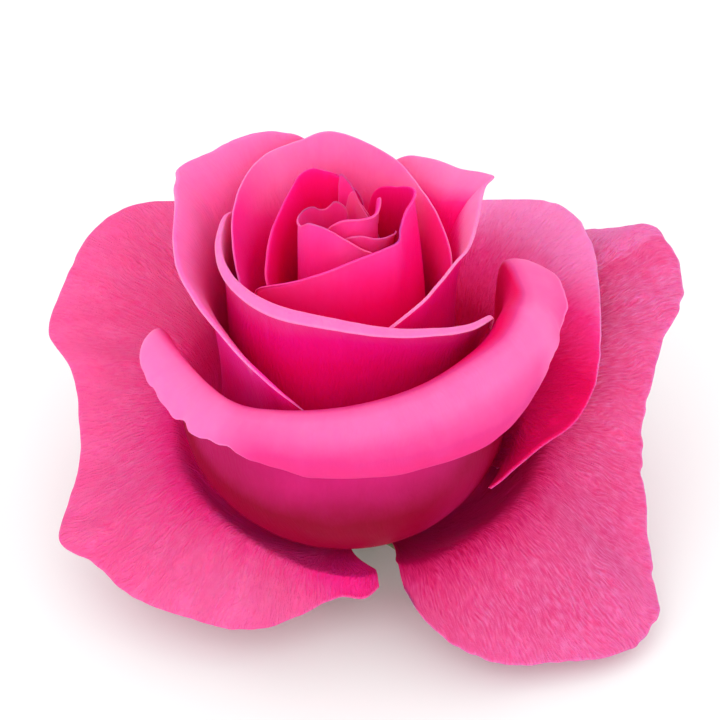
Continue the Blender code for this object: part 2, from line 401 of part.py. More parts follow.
def sepal(number, azimuth, reach, material):
    """A pointed green blade that arches down from the hip to the surface."""
    start = np.array(SEPAL_BASE)
    tip = np.array([reach, FLOOR + SEPAL_THICKNESS / 2])
    steps = 9
    line = np.vstack([start[None, :], bezier(start, start + np.array([4.5, 0.4]),
                                             tip - np.array([9.0, -1.2]), tip, steps)])
    share = np.arange(steps + 1) / steps
    half = SEPAL_WIDTH / 2 * (1 - share ** 1.6) * (0.8 + 0.5 * share) + 0.25
    a = math.radians(azimuth)
    out, side = np.array([math.cos(a), math.sin(a)]), np.array([-math.sin(a), math.cos(a)])
    points, faces = [], []
    for (radius, height), width in zip(line, half):
        for offset in (-1.0, 0.0, 1.0):
            place = out * radius + side * width * offset
            sag = 0.10 * width * offset ** 2 * (1 - radius / reach)
            points.append((place[0], place[1], height - sag))
    for row in range(steps):
        for column in range(2):
            i = 3 * row + column
            faces.append((i, i + 3, i + 4, i + 1))
    sheet = add_mesh(f"sepal_{number}", points, faces, material)
    body = sheet.modifiers.new("thickness", "SOLIDIFY")
    body.thickness = SEPAL_THICKNESS * MM
    body.offset = 0.0
    return sheet


def stamens(parent):
    """Filaments with anthers, each a six-sided spindle, joined to the ring that they grow from."""
    base = receptacle_height(RECEPTACLE_TOP_RADIUS) + INNER_GAP
    profile = ((0.14, 0.0), (0.12, 0.8), (0.24, 0.88), (0.22, 1.0))
    sides = 6
    points, faces = [], []
    for n in range(STAMEN_COUNT):
        a = 2 * math.pi * n / STAMEN_COUNT
        height = STAMEN_HEIGHT * (1.0 + 0.12 * math.cos(2.4 * n))
        first = len(points)
        for width, share in profile:
            reach = STAMEN_RADIUS + 0.25 * share
            for s in range(sides):
                b = 2 * math.pi * s / sides
                points.append((reach * math.cos(a) + width * math.cos(b),
                               reach * math.sin(a) + width * math.sin(b),
                               base + STAMEN_RING[2] / 2 + share * height))
        for ring in range(len(profile) - 1):
            for s in range(sides):
                t = (s + 1) % sides
                low, high = first + ring * sides, first + (ring + 1) * sides
                faces.append((low + s, low + t, high + t, high + s))
        top = first + (len(profile) - 1) * sides
        faces.append(tuple(first + s for s in reversed(range(sides))))
        faces.append(tuple(top + s for s in range(sides)))
    yellow = finish("anther_yellow", YELLOW, 0.7)
    filaments = add_mesh("filaments", points, faces, yellow)

    inner, outer, height = STAMEN_RING
    section = ((inner, base), (outer, base), (outer, base + height), (inner, base + height))
    points, faces = [], []
    for s in range(HIP_SEGMENTS):
        a = 2 * math.pi * s / HIP_SEGMENTS
        points += [(r * math.cos(a), r * math.sin(a), z) for r, z in section]
        here, there = 4 * s, 4 * ((s + 1) % HIP_SEGMENTS)
        faces += [(here + k, there + k, there + (k + 1) % 4, here + (k + 1) % 4) for k in range(4)]
    ring = add_mesh("stamens", points, faces, yellow)
    join = ring.modifiers.new("join", "BOOLEAN")
    join.operation = "UNION"
    join.object = filaments
    bpy.context.view_layer.update()
    joined = ring.evaluated_get(bpy.context.evaluated_depsgraph_get())
    ring.data = bpy.data.meshes.new_from_object(joined)
    ring.modifiers.clear()
    bpy.data.objects.remove(filaments, do_unlink=True)
    ring.parent = parent


def styles(parent):
    base = receptacle_height(RECEPTACLE_TOP_RADIUS) + INNER_GAP
    profile = [(0.55 * STYLE_RADIUS, base + STYLE_HEIGHT), (STYLE_RADIUS, base + 0.92 * STYLE_HEIGHT),
               (0.6 * STYLE_RADIUS, base + 0.8 * STYLE_HEIGHT), (0.6 * STYLE_RADIUS, base)]
    turned("styles", profile, finish("style_green", GREEN, 0.6), segments=10).parent = parent


def centre_on_origin(frame):
    """Move the whole bloom so that its box stands centred on the origin."""
    bpy.context.view_layer.update()
    graph = bpy.context.evaluated_depsgraph_get()
    corners = []
    for thing in bpy.data.objects:
        if thing.type == "MESH":
            shape = thing.evaluated_get(graph)
            mesh = shape.to_mesh()
            corners += [shape.matrix_world @ v.co for v in mesh.vertices]
            shape.to_mesh_clear()
    low = [min(c[i] for c in corners) for i in range(3)]
    high = [max(c[i] for c in corners) for i in range(3)]
    frame.location = (-(low[0] + high[0]) / 2, -(low[1] + high[1]) / 2, -low[2])


def main():
    clear_scene()
    frame = bpy.data.objects.new("bloom_frame", None)
    bpy.context.scene.collection.objects.link(frame)
    petals(frame)
    hip_and_stem(frame)
    green = finish("calyx_green", GREEN, 0.6)
    for number, (azimuth, reach) in enumerate(SEPALS, 1):
        sepal(number, azimuth, reach, green).parent = frame
    stamens(frame)
    styles(frame)
    centre_on_origin(frame)
    bpy.context.view_layer.update()


main()
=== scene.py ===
"""Looks of the rose bloom: fine petals, calyx, stamens, floor, light and camera."""

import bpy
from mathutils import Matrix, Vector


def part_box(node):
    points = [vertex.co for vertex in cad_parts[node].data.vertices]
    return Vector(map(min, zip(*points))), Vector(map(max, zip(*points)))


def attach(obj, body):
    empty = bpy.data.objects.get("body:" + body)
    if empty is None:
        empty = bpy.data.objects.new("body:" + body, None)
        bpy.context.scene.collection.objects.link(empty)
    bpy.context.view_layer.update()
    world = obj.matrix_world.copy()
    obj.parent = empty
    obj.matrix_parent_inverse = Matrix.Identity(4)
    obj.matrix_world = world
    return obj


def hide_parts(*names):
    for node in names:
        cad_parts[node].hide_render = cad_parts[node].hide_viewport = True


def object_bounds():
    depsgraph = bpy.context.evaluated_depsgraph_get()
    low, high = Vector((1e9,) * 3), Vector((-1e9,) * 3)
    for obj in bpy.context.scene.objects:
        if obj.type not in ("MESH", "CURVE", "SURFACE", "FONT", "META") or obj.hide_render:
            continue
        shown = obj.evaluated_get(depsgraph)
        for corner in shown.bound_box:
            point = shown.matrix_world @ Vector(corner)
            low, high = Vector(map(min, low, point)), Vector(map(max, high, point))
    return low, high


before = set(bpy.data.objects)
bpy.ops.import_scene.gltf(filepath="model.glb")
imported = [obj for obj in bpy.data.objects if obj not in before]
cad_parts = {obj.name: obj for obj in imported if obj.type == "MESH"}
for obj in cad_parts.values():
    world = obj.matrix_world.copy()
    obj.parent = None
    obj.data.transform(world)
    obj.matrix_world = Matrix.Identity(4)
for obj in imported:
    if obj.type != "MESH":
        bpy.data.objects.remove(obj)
CAD_BOX = [list(corner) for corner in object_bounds()]

from math import cos, hypot, pi, radians, sin, tan

import bpy
import numpy as np
from mathutils import Vector

# ---- the bloom's shape, in millimetres and degrees, with the solids' stations ----
MM = 0.001
FLOOR = -12  # height of the surface that it stands on
CUP_LEAN = -0.05  # sideways, per millimetre of height
CLAW_WIDTH = 3
CLAW_SHARE = 0.3  # widest claw, as a share of its petal
CLAW_RADIUS = (2.4, 6.8)  # innermost and outermost petal
CLAW_HEIGHT = (2.8, -1.6)
CLAW_START = (62, 4)  # slope where a sheet leaves the cone
SPREAD_END = (0.72, 0.45)  # part of the way up where a cup petal is at full width
SPREAD_POWER = 1.3
GUARD_BELLY_PART = 5 / 11  # of the way up to the crest, for the spread
BELLY_HEIGHT = 22
CUP_RUN, CUP_RISE = 0.55, 0.5  # handles of the curve from claw to belly
GUARD_RUN, GUARD_RISE = 0.75, 0.38
HANDLE = 0.36  # of the curves above it, as a share of their chord
SHOULDER_HANDLE = 0.15
LIP_TURN = (5, 130)  # least and most degrees that a lip turns through
WAIST = 0.97  # least radius of a wall's handle, as a share of the smaller end's

# name after "petal_", claw azimuth, belly radii at even steps along the petal,
# then stations (azimuth, crest radius, crest height, flare, lip out, lip down)
CUP_PETALS = (
    ("core_1", 90, (3.1, 3.1), (
        (10, 2.3, 48, 5, 0.3, 0.1), (35, 2, 54, 5, 0.3, 0.1), (95, 1.9, 56, 5, 0.3, 0.1),
        (160, 2, 55, 5, 0.3, 0.1), (200, 2.1, 49, 5, 0.3, 0.1))),
    ("core_2", 235, (3.9, 3.9), (
        (150, 2.9, 50, 5, 0.3, 0.1), (175, 2.7, 56, 5, 0.3, 0.1), (235, 2.6, 57.5, 5, 0.3, 0.1),
        (300, 2.7, 56.5, 5, 0.3, 0.1), (330, 2.9, 50, 5, 0.3, 0.1))),
    ("core_3", 35, (4.6, 4.6), (
        (252, 3.9, 50, 5, 0.3, 0.1), (275, 3.8, 56, 5, 0.3, 0.1), (340, 3.8, 58, 5, 0.3, 0.1),
        (400, 3.7, 57.5, 5, 0.3, 0.1), (432, 3.7, 54, 5, 0.3, 0.1), (445, 3.8, 48, 5, 0.3, 0.1))),
    ("heart_top", 265, (5.6, 5.6), (
        (238, 4.9, 56, 10, 0.5, 0.1), (254, 5, 61.3, 15, 0.6, 0.2), (281, 5.4, 63, 15, 0.6, 0.2),
        (305, 5.9, 63, 15, 0.6, 0.2), (330, 5.9, 62.3, 20, 0.7, 0.2), (358, 5.8, 62, 25, 0.9, 0.1),
        (371, 6, 62.2, 30, 0.9, 0), (380, 6, 57, 15, 0.5, 0.1))),
    ("heart_right", 25, (6.4, 6.4), (
        (272, 6.3, 55, 10, 0.5, 0.1), (281, 6.9, 60.8, 15, 0.6, 0.2), (295, 7.8, 61.4, 20, 0.6, 0.2),
        (310, 8.8, 60.6, 20, 0.6, 0.2), (335, 9.2, 59.4, 20, 0.6, 0.2), (352, 8.6, 58, 20, 0.6, 0.2),
        (362, 8, 53, 10, 0.5, 0.1))),
    ("heart_front", 190, (6.8, 8.2, 8.7, 8.6), (
        (78, 4.4, 54, 5, 0.3, 0.1), (84, 4.2, 59, 10, 0.3, 0.1), (101, 4.1, 59.7, 20, 0.4, 0.1),
        (111, 4.2, 58.9, 25, 0.5, 0.2), (121, 4.4, 58.4, 30, 0.5, 0.2), (132, 4.6, 58.6, 30, 0.5, 0.2),
        (143, 4.8, 59.5, 30, 0.6, 0.3), (160, 5.4, 59.9, 25, 0.6, 0.3), (182, 6.2, 59.9, 20, 0.6, 0.2),
        (205, 6.3, 60.4, 20, 0.8, 0.2), (232, 6.6, 62.6, 15, 0.7, 0.2), (256, 7.4, 63, 15, 0.7, 0.2),
        (277, 8.5, 61.6, 20, 0.7, 0.2), (290, 9.5, 60.2, 25, 0.7, 0.2), (300, 10.3, 59.2, 25, 0.7, 0.2),
        (308, 10.2, 54, 15, 0.5, 0.2))),
    ("fold_small", 40, (7.8, 7.8), (
        (26, 6.6, 51, 8, 0.3, 0.1), (42, 6.6, 54.6, 8, 0.4, 0.1), (58, 6.5, 57, 8, 0.4, 0.1),
        (66, 6.4, 58.8, 8, 0.4, 0.1), (71, 6.3, 60.3, 8, 0.4, 0.1), (74, 6.2, 60, 8, 0.4, 0.1),
        (80, 5.9, 57.8, 8, 0.4, 0.1), (87, 5.6, 55.8, 8, 0.3, 0.1), (92, 5.5, 52, 8, 0.3, 0.1))),
    ("fold_large", 125, (8.6, 8.6), (
        (36, 7.6, 51, 8, 0.3, 0.1), (50, 7.7, 54.4, 8, 0.3, 0.1), (60, 7.7, 56.2, 8, 0.3, 0.1),
        (68, 7.9, 57.4, 8, 0.3, 0.1), (76, 8.4, 59.6, 10, 0.4, 0.1), (83, 8.8, 61, 12, 0.5, 0.1),
        (88.5, 9, 61.7, 12, 0.5, 0.1), (90.5, 8.9, 60.4, 12, 0.5, 0.1), (92, 8.8, 57, 10, 0.4, 0.1),
        (95, 8.6, 51, 8, 0.4, 0.1))),
    ("swirl_left", 172, (9.8, 10), (
        (63, 9.2, 50, 8, 0.4, 0.1), (66, 9.1, 54.4, 10, 0.4, 0.1), (68.5, 9.1, 57.2, 12, 0.4, 0.1),
        (73, 9.3, 58.4, 15, 0.5, 0.2), (81, 9.8, 59.3, 15, 0.6, 0.2), (89, 10.6, 60, 18, 0.7, 0.2),
        (101, 11.2, 60.7, 20, 0.8, 0.2), (112, 11.4, 61.5, 20, 0.8, 0.2), (122, 11.3, 61.1, 20, 0.8, 0.2),
        (135, 10.7, 59.4, 20, 0.8, 0.2), (152, 10.3, 57.8, 15, 0.7, 0.2), (172, 10.7, 55.8, 15, 0.7, 0.2),
        (192, 11.8, 53, 18, 0.7, 0.2), (207, 13, 51, 15, 0.7, 0.2), (216, 12, 44, 10, 0.5, 0.2))),
    ("swirl_right", 290, (11.2, 11.4, 12.8, 13.2, 12.6), (
        (204, 14.6, 46, 15, 0.5, 0.2), (212, 15.6, 51.5, 20, 0.7, 0.2), (223, 15.3, 54, 20, 0.8, 0.2),
        (244, 14.5, 57, 20, 0.8, 0.2), (264, 13.6, 59.2, 20, 0.8, 0.2), (285, 13, 61, 20, 0.8, 0.2),
        (305, 12.7, 61.6, 10, 0.8, 0.2), (318, 12.2, 61.2, 2, 0.8, 0.2), (329, 10.9, 61.4, -8, 0.7, 0.2),
        (346, 10.6, 62.6, -10, 0.6, 0.2), (362, 11.5, 63, -6, 0.7, 0.2), (374, 12, 62.6, 2, 0.8, 0.2),
        (400, 12, 60, 10, 0.8, 0.2), (422, 12.4, 57.3, 15, 0.7, 0.2), (433, 12.6, 51, 10, 0.5, 0.2))),
    ("cup_back", 75, (15.4, 15, 14.4, 14.2), (
        (-13, 16.5, 43, 15, 0.7, 0.2), (0, 17, 50.6, 20, 0.8, 0.2), (22, 16.4, 54.8, 20, 0.9, 0.2),
        (46, 16.8, 58.2, 25, 0.9, 0.2), (60, 17.5, 60.2, 25, 0.9, 0.2), (73, 17.6, 61.7, 25, 0.9, 0.2),
        (95, 18.5, 63.2, 25, 1, 0.2), (109, 19.5, 61.4, 25, 1, 0.2), (124, 19.6, 60.9, 25, 1, 0.2),
        (150, 17.8, 60, 20, 0.8, 0.2), (180, 16.8, 56.6, 18, 0.8, 0.2), (204, 17.4, 53.4, 14, 0.8, 0.2),
        (219, 18.2, 49.5, 14, 0.8, 0.2), (228, 17.9, 43, 12, 0.7, 0.2))),
    ("mid_front", 245, (15.8, 15.8), (
        (222, 18, 36, 10, 0.6, 0.2), (232, 18.8, 45, 12, 0.7, 0.2), (244, 19.2, 48, 12, 0.8, 0.2),
        (258, 19, 48.5, 12, 0.8, 0.2), (270, 18, 46, 12, 0.7, 0.2), (280, 16.8, 36, 10, 0.6, 0.2))),
    ("cup_right", 0, (17.6, 17.6), (
        (276, 19, 42, 10, 0.6, 0.2), (284, 20, 49.6, 15, 0.8, 0.2), (293, 20.6, 52.8, 15, 0.9, 0.2),
        (305, 20.2, 54.6, 15, 0.9, 0.2), (322, 18.8, 55, 15, 0.9, 0.2), (342, 18.6, 54.9, 20, 0.9, 0.2),
        (356, 19.6, 54.5, 30, 1, 0.2), (369, 21.2, 55, 40, 1, 0.2), (380, 23.2, 55.7, 50, 1.2, 0.3),
        (386, 24.8, 56.3, 55, 1.2, 0.3), (389, 26.2, 56.8, 60, 1.2, 0.3), (391, 28.4, 57.3, 65, 1.2, 0.2),
        (393.8, 27.7, 57.4, 65, 1.2, 0.3), (400, 25.2, 57.6, 55, 1.2, 0.3), (413, 23.6, 57.8, 45, 1.2, 0.3),
        (422, 22.8, 57.3, 40, 1.2, 0.3), (432, 22.8, 54, 35, 1, 0.3), (441, 23, 46, 25, 0.8, 0.3))),
    ("cup_front", 225, (19.2, 20.8), (
        (140, 19.2, 46, 10, 0.6, 0.2), (149, 19.2, 53.5, 15, 0.7, 0.3), (163, 19, 56, 20, 0.9, 0.3),
        (179, 19.2, 56, 25, 0.9, 0.4), (192, 19.5, 55.9, 30, 1, 0.6), (206, 20.1, 56.3, 30, 1.1, 0.9),
        (226, 21.5, 56.8, 30, 1.1, 1.3), (243, 22.8, 57.4, 30, 1.4, 1.4), (263, 23.8, 57.5, 25, 1.5, 1.1),
        (285, 24.4, 55.3, 25, 1.5, 0.8), (301, 25.4, 53.6, 25, 1.3, 0.7), (318, 26.6, 51.4, 30, 1.1, 0.6),
        (330, 27, 50, 35, 0.8, 0.4), (335, 25.6, 45.5, 30, 0.5, 0.3))),
    ("low_front", 310, (22, 21.6), (
        (266, 23.2, 28, 10, 0.5, 0.2), (273, 23.5, 34, 10, 0.6, 0.2), (290, 24, 37.5, 12, 0.7, 0.2),
        (310, 24.2, 38.5, 12, 0.7, 0.2), (328, 24, 38, 12, 0.7, 0.2), (340, 23.6, 34, 10, 0.6, 0.2),
        (347, 23.2, 28, 10, 0.5, 0.2))),
    ("cup_left", 150, (21.3, 21.3), (
        (97, 22.4, 50, 20, 0.8, 0.3), (104, 22.5, 59.4, 30, 1.1, 0.3), (117, 24.8, 60.8, 40, 1.4, 0.4),
        (132, 26.6, 59.9, 45, 1.5, 0.5), (143, 28.1, 59.2, 50, 1.5, 0.5), (147.5, 29.4, 58.8, 50, 1.3, 0.4),
        (150.5, 30, 58.4, 50, 1.2, 0.4), (153, 29.2, 58.1, 50, 1.2, 0.4), (157, 28.3, 57.9, 45, 1.3, 0.4),
        (166, 26.4, 57.6, 45, 1.4, 0.5), (180, 25.8, 55.4, 45, 1.4, 0.6), (195, 25.4, 53.8, 40, 1.4, 0.6),
        (210, 25, 52, 40, 1.4, 0.6), (225, 25.4, 50, 35, 1.2, 0.5), (238, 26.2, 47.2, 30, 1, 0.4),
        (248, 26.8, 44.4, 25, 0.8, 0.3), (256, 26, 40.4, 20, 0.6, 0.2), (261, 24.6, 34, 15, 0.5, 0.2))),
    ("mid_back_left", 110, (23.2, 23.2), (
        (66, 23.7, 30, 15, 0.6, 0.2), (74, 24.4, 38, 20, 0.8, 0.2), (86, 26.2, 44.4, 30, 1, 0.3),
        (102, 28, 48.4, 40, 1.2, 0.4), (118, 28.6, 48, 40, 1.2, 0.4), (134, 27.8, 44.4, 35, 1, 0.3),
        (145, 26.4, 38, 25, 0.8, 0.2), (152, 25, 29, 15, 0.6, 0.2))),
    ("mid_back_right", 60, (24.4, 24.4), (
        (50, 26, 29, 15, 0.6, 0.2), (56, 27.8, 37, 25, 0.8, 0.2), (63, 30, 43, 40, 1, 0.3),
        (74, 31.4, 46.4, 45, 1.2, 0.4), (90, 31.2, 45.6, 50, 1.2, 0.4), (104, 30.2, 41, 40, 1, 0.3),
        (114, 28.4, 34, 25, 0.8, 0.2), (120, 26.8, 27, 15, 0.6, 0.2))),
    ("front_rolled", 280, (28.4, 29, 27.4, 25.6, 26.2), (
        (184, 29, 34, 40, 0.8, 1), (190, 31, 41, 75, 1, 1.8), (198, 31.4, 43.4, 90, 3.6, 4.4),
        (208, 29.8, 41.5, 90, 5.4, 4.8), (222, 29.2, 40.2, 90, 5.6, 5.2), (236, 30, 40.8, 90, 4.4, 5.4),
        (250, 30, 42.2, 90, 4.2, 8), (264, 30, 43.6, 90, 4.2, 10), (279, 30, 45, 90, 4.2, 11.5),
        (294, 30.2, 46.5, 90, 4.3, 12.5), (310, 31, 48.6, 90, 4.8, 13), (322, 32.2, 50.4, 90, 3.8, 12.6),
        (333, 31.6, 51.5, 90, 4.4, 10), (342, 30.3, 50.9, 90, 6, 6), (351, 28.6, 50.3, 88, 7.8, 2.4),
        (360, 27.4, 49.6, 80, 7, 1.4), (367, 26.8, 48.4, 65, 4.4, 1), (373, 26.6, 46, 50, 1.6, 0.6),
        (378, 26.6, 40, 30, 0.8, 0.4))),
)

# name, claw azimuth, part of the way up at full width,
# then stations (azimuth, shoulder radius, shoulder height, slope there,
#                crest radius, crest height, flare, lip out, lip down)
GUARD_PETALS = (
    ("guard_right_upper", 35, 0.9, (
        (328, 25.2, 13.6, 20, 25.6, 14.2, 30, 0.4, 0.2), (337, 26.2, 14.8, 20, 28, 16.6, 40, 0.6, 0.2),
        (343, 26.8, 16.2, 20, 30.6, 19, 55, 0.9, 0.3), (350, 27.4, 17.8, 20, 34.4, 21, 70, 1, 0.4),
        (362, 28.6, 19, 18, 38.6, 24.4, 80, 1.2, 0.5), (373, 29.2, 21, 16, 41, 29.4, 80, 1.2, 0.5),
        (384, 29.2, 22.5, 15, 43.8, 34, 80, 1.2, 0.5), (393, 28.8, 23.5, 15, 46.8, 36.2, 80, 1.2, 0.5),
        (399, 28.8, 23.8, 15, 48.4, 37, 80, 1.2, 0.5), (406, 29, 24, 15, 49.8, 36.6, 80, 1.2, 0.5),
        (418, 29, 24, 15, 49, 33.6, 80, 1.2, 0.5), (432, 29, 24, 15, 46.4, 30, 80, 1.2, 0.5),
        (442, 29, 23, 15, 42, 28, 75, 1, 0.4), (448, 29, 22, 15, 36, 25, 60, 0.8, 0.3))),
    ("guard_left", 255, 0.45, (
        (114, 29.4, 23, 15, 37, 27, 55, 0.8, 0.3), (120, 29.4, 23, 15, 43.6, 32.8, 65, 1, 0.4),
        (130, 29.4, 23, 18, 49.2, 36.2, 75, 1.2, 0.5), (139, 29.4, 23, 18, 52.6, 36.8, 80, 1.4, 0.6),
        (147, 29.4, 22.5, 20, 54.4, 34.8, 90, 1.4, 0.6), (153, 29.4, 22, 22, 54.6, 31.2, 95, 1.4, 0.6),
        (158, 29.6, 21.5, 24, 54.8, 27.6, 98, 1.3, 0.6), (162, 29.8, 20.8, 26, 55, 24, 102, 1.2, 0.6),
        (166, 30, 20, 28, 49.8, 19.4, 105, 1.2, 0.6), (174, 30.2, 18.2, 30, 46.8, 13.6, 105, 1.2, 0.6),
        (182, 30.2, 16.5, 32, 46.4, 9.6, 105, 1.2, 0.6), (190, 30, 15, 34, 48.6, 6.6, 105, 1.2, 0.6),
        (197, 29.6, 13.8, 35, 51.4, 4.2, 105, 1, 0.6), (203, 29.2, 12.8, 36, 47.2, 2.8, 110, 1, 0.8),
        (211, 28.6, 11.6, 36, 44.8, 1.2, 118, 1, 1), (225, 27.4, 9.6, 38, 39.2, -0.6, 125, 0.8, 1),
        (240, 26, 7.4, 42, 34.8, -1, 125, 0.8, 1), (251, 25, 5.4, 50, 29.2, -0.4, 120, 0.6, 0.8),
        (264, 24, 3.8, 60, 25.2, 1, 112, 0.5, 0.6), (273, 23.4, 3.2, 66, 26.2, 1.4, 105, 0.4, 0.3),
        (278, 22.6, 3, 70, 24.8, 2.4, 100, 0.4, 0.2))),
    ("guard_right", 303, 0.45, (
        (288, 21.4, 3.4, 75, 24.2, 1.2, 105, 0.5, 0.6), (291, 22.6, 4.2, 70, 29.6, -1.2, 110, 0.8, 0.8),
        (297, 24, 5.4, 62, 36, -2.8, 118, 0.9, 1), (304, 25.6, 7.2, 54, 41.6, -4.4, 122, 0.9, 1),
        (312, 26.6, 8.8, 48, 44.8, -5.6, 125, 1, 1), (321, 27.6, 10, 44, 49.6, -6.6, 125, 1, 1),
        (329, 28.4, 10.9, 40, 53.4, -6.8, 125, 1, 1), (336, 29, 11.7, 38, 54.6, -5.6, 120, 1, 0.8),
        (342, 29.6, 12.4, 36, 51.2, -2.8, 115, 1.2, 0.8), (351, 30.2, 13.4, 35, 48.8, 3.4, 108, 1.2, 0.8),
        (360, 30.6, 14.6, 32, 47.2, 11, 105, 1.2, 0.7), (368, 30.8, 15.8, 30, 49.2, 18.2, 100, 1.2, 0.7),
        (375, 31, 16.8, 30, 53, 24.8, 95, 1.2, 0.6), (378, 31, 17.1, 30, 56.4, 27.6, 93, 1.2, 0.6),
        (382, 31, 17.4, 30, 59, 29.2, 92, 1.2, 0.6), (387.5, 31, 17.8, 30, 61.2, 31.2, 90, 1.2, 0.5),
        (391, 31, 17.9, 30, 61.1, 32.2, 88, 1.2, 0.5), (393.8, 31, 18, 30, 60.8, 33.4, 86, 1.2, 0.5),
        (396.2, 31, 18.1, 30, 58.4, 32.7, 87, 1.2, 0.5), (400, 31, 18.2, 30, 56, 31.6, 88, 1.2, 0.5),
        (406, 31, 18.2, 30, 53.6, 28.9, 88, 1.2, 0.5), (413, 31, 18, 30, 48, 24.6, 80, 1, 0.4),
        (418, 31, 17.4, 30, 40, 21, 70, 0.8, 0.3))),
    ("guard_back_right", 85, 0.5, (
        (56, 31, 14, 20, 36, 15.5, 60, 0.8, 0.3), (63, 31, 15, 20, 42, 20, 75, 1, 0.4),
        (78, 31, 16.5, 20, 47.6, 25.5, 80, 1.2, 0.5), (94, 31, 17, 20, 48.6, 27, 80, 1.2, 0.5),
        (110, 31, 17, 20, 46.4, 25.5, 80, 1.2, 0.5), (122, 31, 16.5, 20, 41, 21.5, 75, 1, 0.4),
        (128, 31, 16, 20, 36, 18.5, 60, 0.8, 0.3))),
    ("guard_back_left", 140, 0.5, (
        (86, 32.2, 11, 25, 38, 12, 65, 0.8, 0.3), (93, 32.4, 12, 25, 44, 17, 80, 1, 0.4),
        (108, 32.6, 13, 25, 49.4, 21.5, 85, 1.2, 0.5), (125, 32.6, 13.5, 25, 50.8, 23.5, 85, 1.2, 0.5),
        (142, 32.6, 13, 25, 49.4, 20.5, 85, 1.2, 0.5), (155, 32.4, 12, 25, 45, 16, 85, 1, 0.4),
        (162, 32.2, 11, 25, 39, 12.5, 75, 0.8, 0.3))),
)

HIP_PROFILE = ((7.1, -3), (6.6, -4.2), (5.7, -5.6), (4.6, -7.2), (3.7, -8.5), (3.2, -9.4))
HIP_LEAN_FROM = -4
HIP_LEAN = -0.85  # sideways, per millimetre of height
HIP_RIPPLE = 0.012  # depth of its ribs, as a share of the radius
RIBS, FINE_RIBS = 5, 13
RIB_TURN = 0.7
STEM_RADIUS = 2.5
STEM_TOP = -9.7
TOP_BEVEL, CUT_BEVEL = 0.15, 0.12
CUT_RINGS = (1.9, 1.2)  # of points across the cut end
SEPALS = ((30, 27), (100, 26), (166, 27), (222, 20.5), (326, 23.5))
SEPAL_WIDTH = 6.4
SEPAL_THICKNESS = 0.8
SEPAL_BASE = (7.6, -4.4)
SEPAL_HANDLES = ((4.5, 0.4), (9, -1.2))
SEPAL_STEPS, SEPAL_LANES = 60, 12
SEPAL_TAPER = 1.6
SEPAL_SWELL = (0.8, 0.5)
SEPAL_POINT = 0.2  # half width of the tip
SEPAL_SAG = 0.1
SEPAL_BLADE = (0.55, 0.3, 0.45)  # thickness, less at the sides, share lost at the tip
SEPAL_CLEAR = 0.02  # least gap below a sepal
MIDRIB = (0.132, 0.16)  # height, and width as a share of the blade's
TEETH = (0.1, 46, 0.12, 0.3, 0.75, 0.95)  # height, rate, parts of the way where they set in and end
STAMEN_COUNT = 9
STAMEN_RADIUS = 1.45
STAMEN_HEIGHT = 6.5
STAMEN_SIDES = 12
STAMEN_LEAN, STAMEN_BOW = 0.25, 0.08
STAMEN_RING = (1.475, 0.37, 0.3)  # radius, half width, half height
# radius and part of the way up, from the anther's tip down the filament
STAMEN_PROFILE = ((0.04, 1), (0.14, 0.99), (0.26, 0.94), (0.27, 0.88), (0.2, 0.83), (0.11, 0.78),
                  (0.12, 0.3), (0.16, 0))
UNEVEN = (0.12, 2.4)  # how the stamens' heights differ
STYLE_RADIUS = 0.75
STYLE_HEIGHT = 5
STYLE_TIP = 0.2
STYLE_RIPPLE = 0.05
STYLE_PROFILE = ((0.55, 0.99), (1, 0.93), (0.7, 0.83), (0.55, 0.7), (0.6, 0))
CONE_GAP = 0.5  # from a claw's middle to the cone below it
CONE_TOP = 2
CONE_RIM = 0.4  # of the cone, outside the claws
INNER_GAP = 0.3  # from the cone's top to the stamens and styles


# ---- finish of each petal ----
# Linear colours: at the very margin, light, middling and deep.
# The margin's colour is a painted highlight; the step from light to deep is partly the petal's own colour
# and partly painted shade.
HEART_OUT = ((1, 0.095, 0.33), (1, 0.06, 0.36), (1, 0.016, 0.25), (0.94, 0.002, 0.16))
HEART_IN = ((1, 0.095, 0.33), (1, 0.04, 0.32), (0.88, 0.005, 0.22), (0.78, 0.001, 0.1))
CUP_OUT = ((1, 0.23, 0.5), (1, 0.022, 0.31), (0.93, 0.004, 0.23), (0.67, 0.001, 0.11))
# its red stays level from light to deep: painted light where the cup's shade falls lower down
LIPPED_OUT = ((1, 0.23, 0.5), (0.74, 0.05, 0.24), (0.74, 0.003, 0.19), (0.76, 0.001, 0.13))
CUP_IN = ((1, 0.23, 0.5), (1, 0.165, 0.46), (1, 0.025, 0.29), (1, 0.001, 0.2))
OPEN_IN = ((1, 0.23, 0.5), (1, 0.165, 0.46), (1, 0.04, 0.36), (1, 0.008, 0.38))
# its very dark deep colour is painted shade on the underside of the rolled petal's bowl
FRONT_OUT = ((0.95, 0.12, 0.38), (0.76, 0.05, 0.28), (0.62, 0.014, 0.18), (0.24, 0.0003, 0.02))
FRONT_IN = ((1, 0.18, 0.46), (1, 0.16, 0.43), (0.7, 0.04, 0.24), (0.75, 0.001, 0.1))
GUARD_OUT = ((0.88, 0.16, 0.4), (0.86, 0.12, 0.35), (0.8, 0.08, 0.26), (0.6, 0.005, 0.09))
GUARD_IN = ((1, 0.2, 0.5), (0.94, 0.115, 0.35), (0.82, 0.03, 0.22), (0.62, 0.001, 0.1))
# its deep colour is redder than its middling one: painted light in the trough under the bowl
LEFT_IN = ((0.96, 0.14, 0.39), (0.92, 0.115, 0.35), (0.95, 0.03, 0.27), (1, 0.01, 0.24))
UPPER_IN = ((1, 0.24, 0.55), (1, 0.2, 0.5), (0.96, 0.032, 0.26), (0.8, 0.001, 0.12))
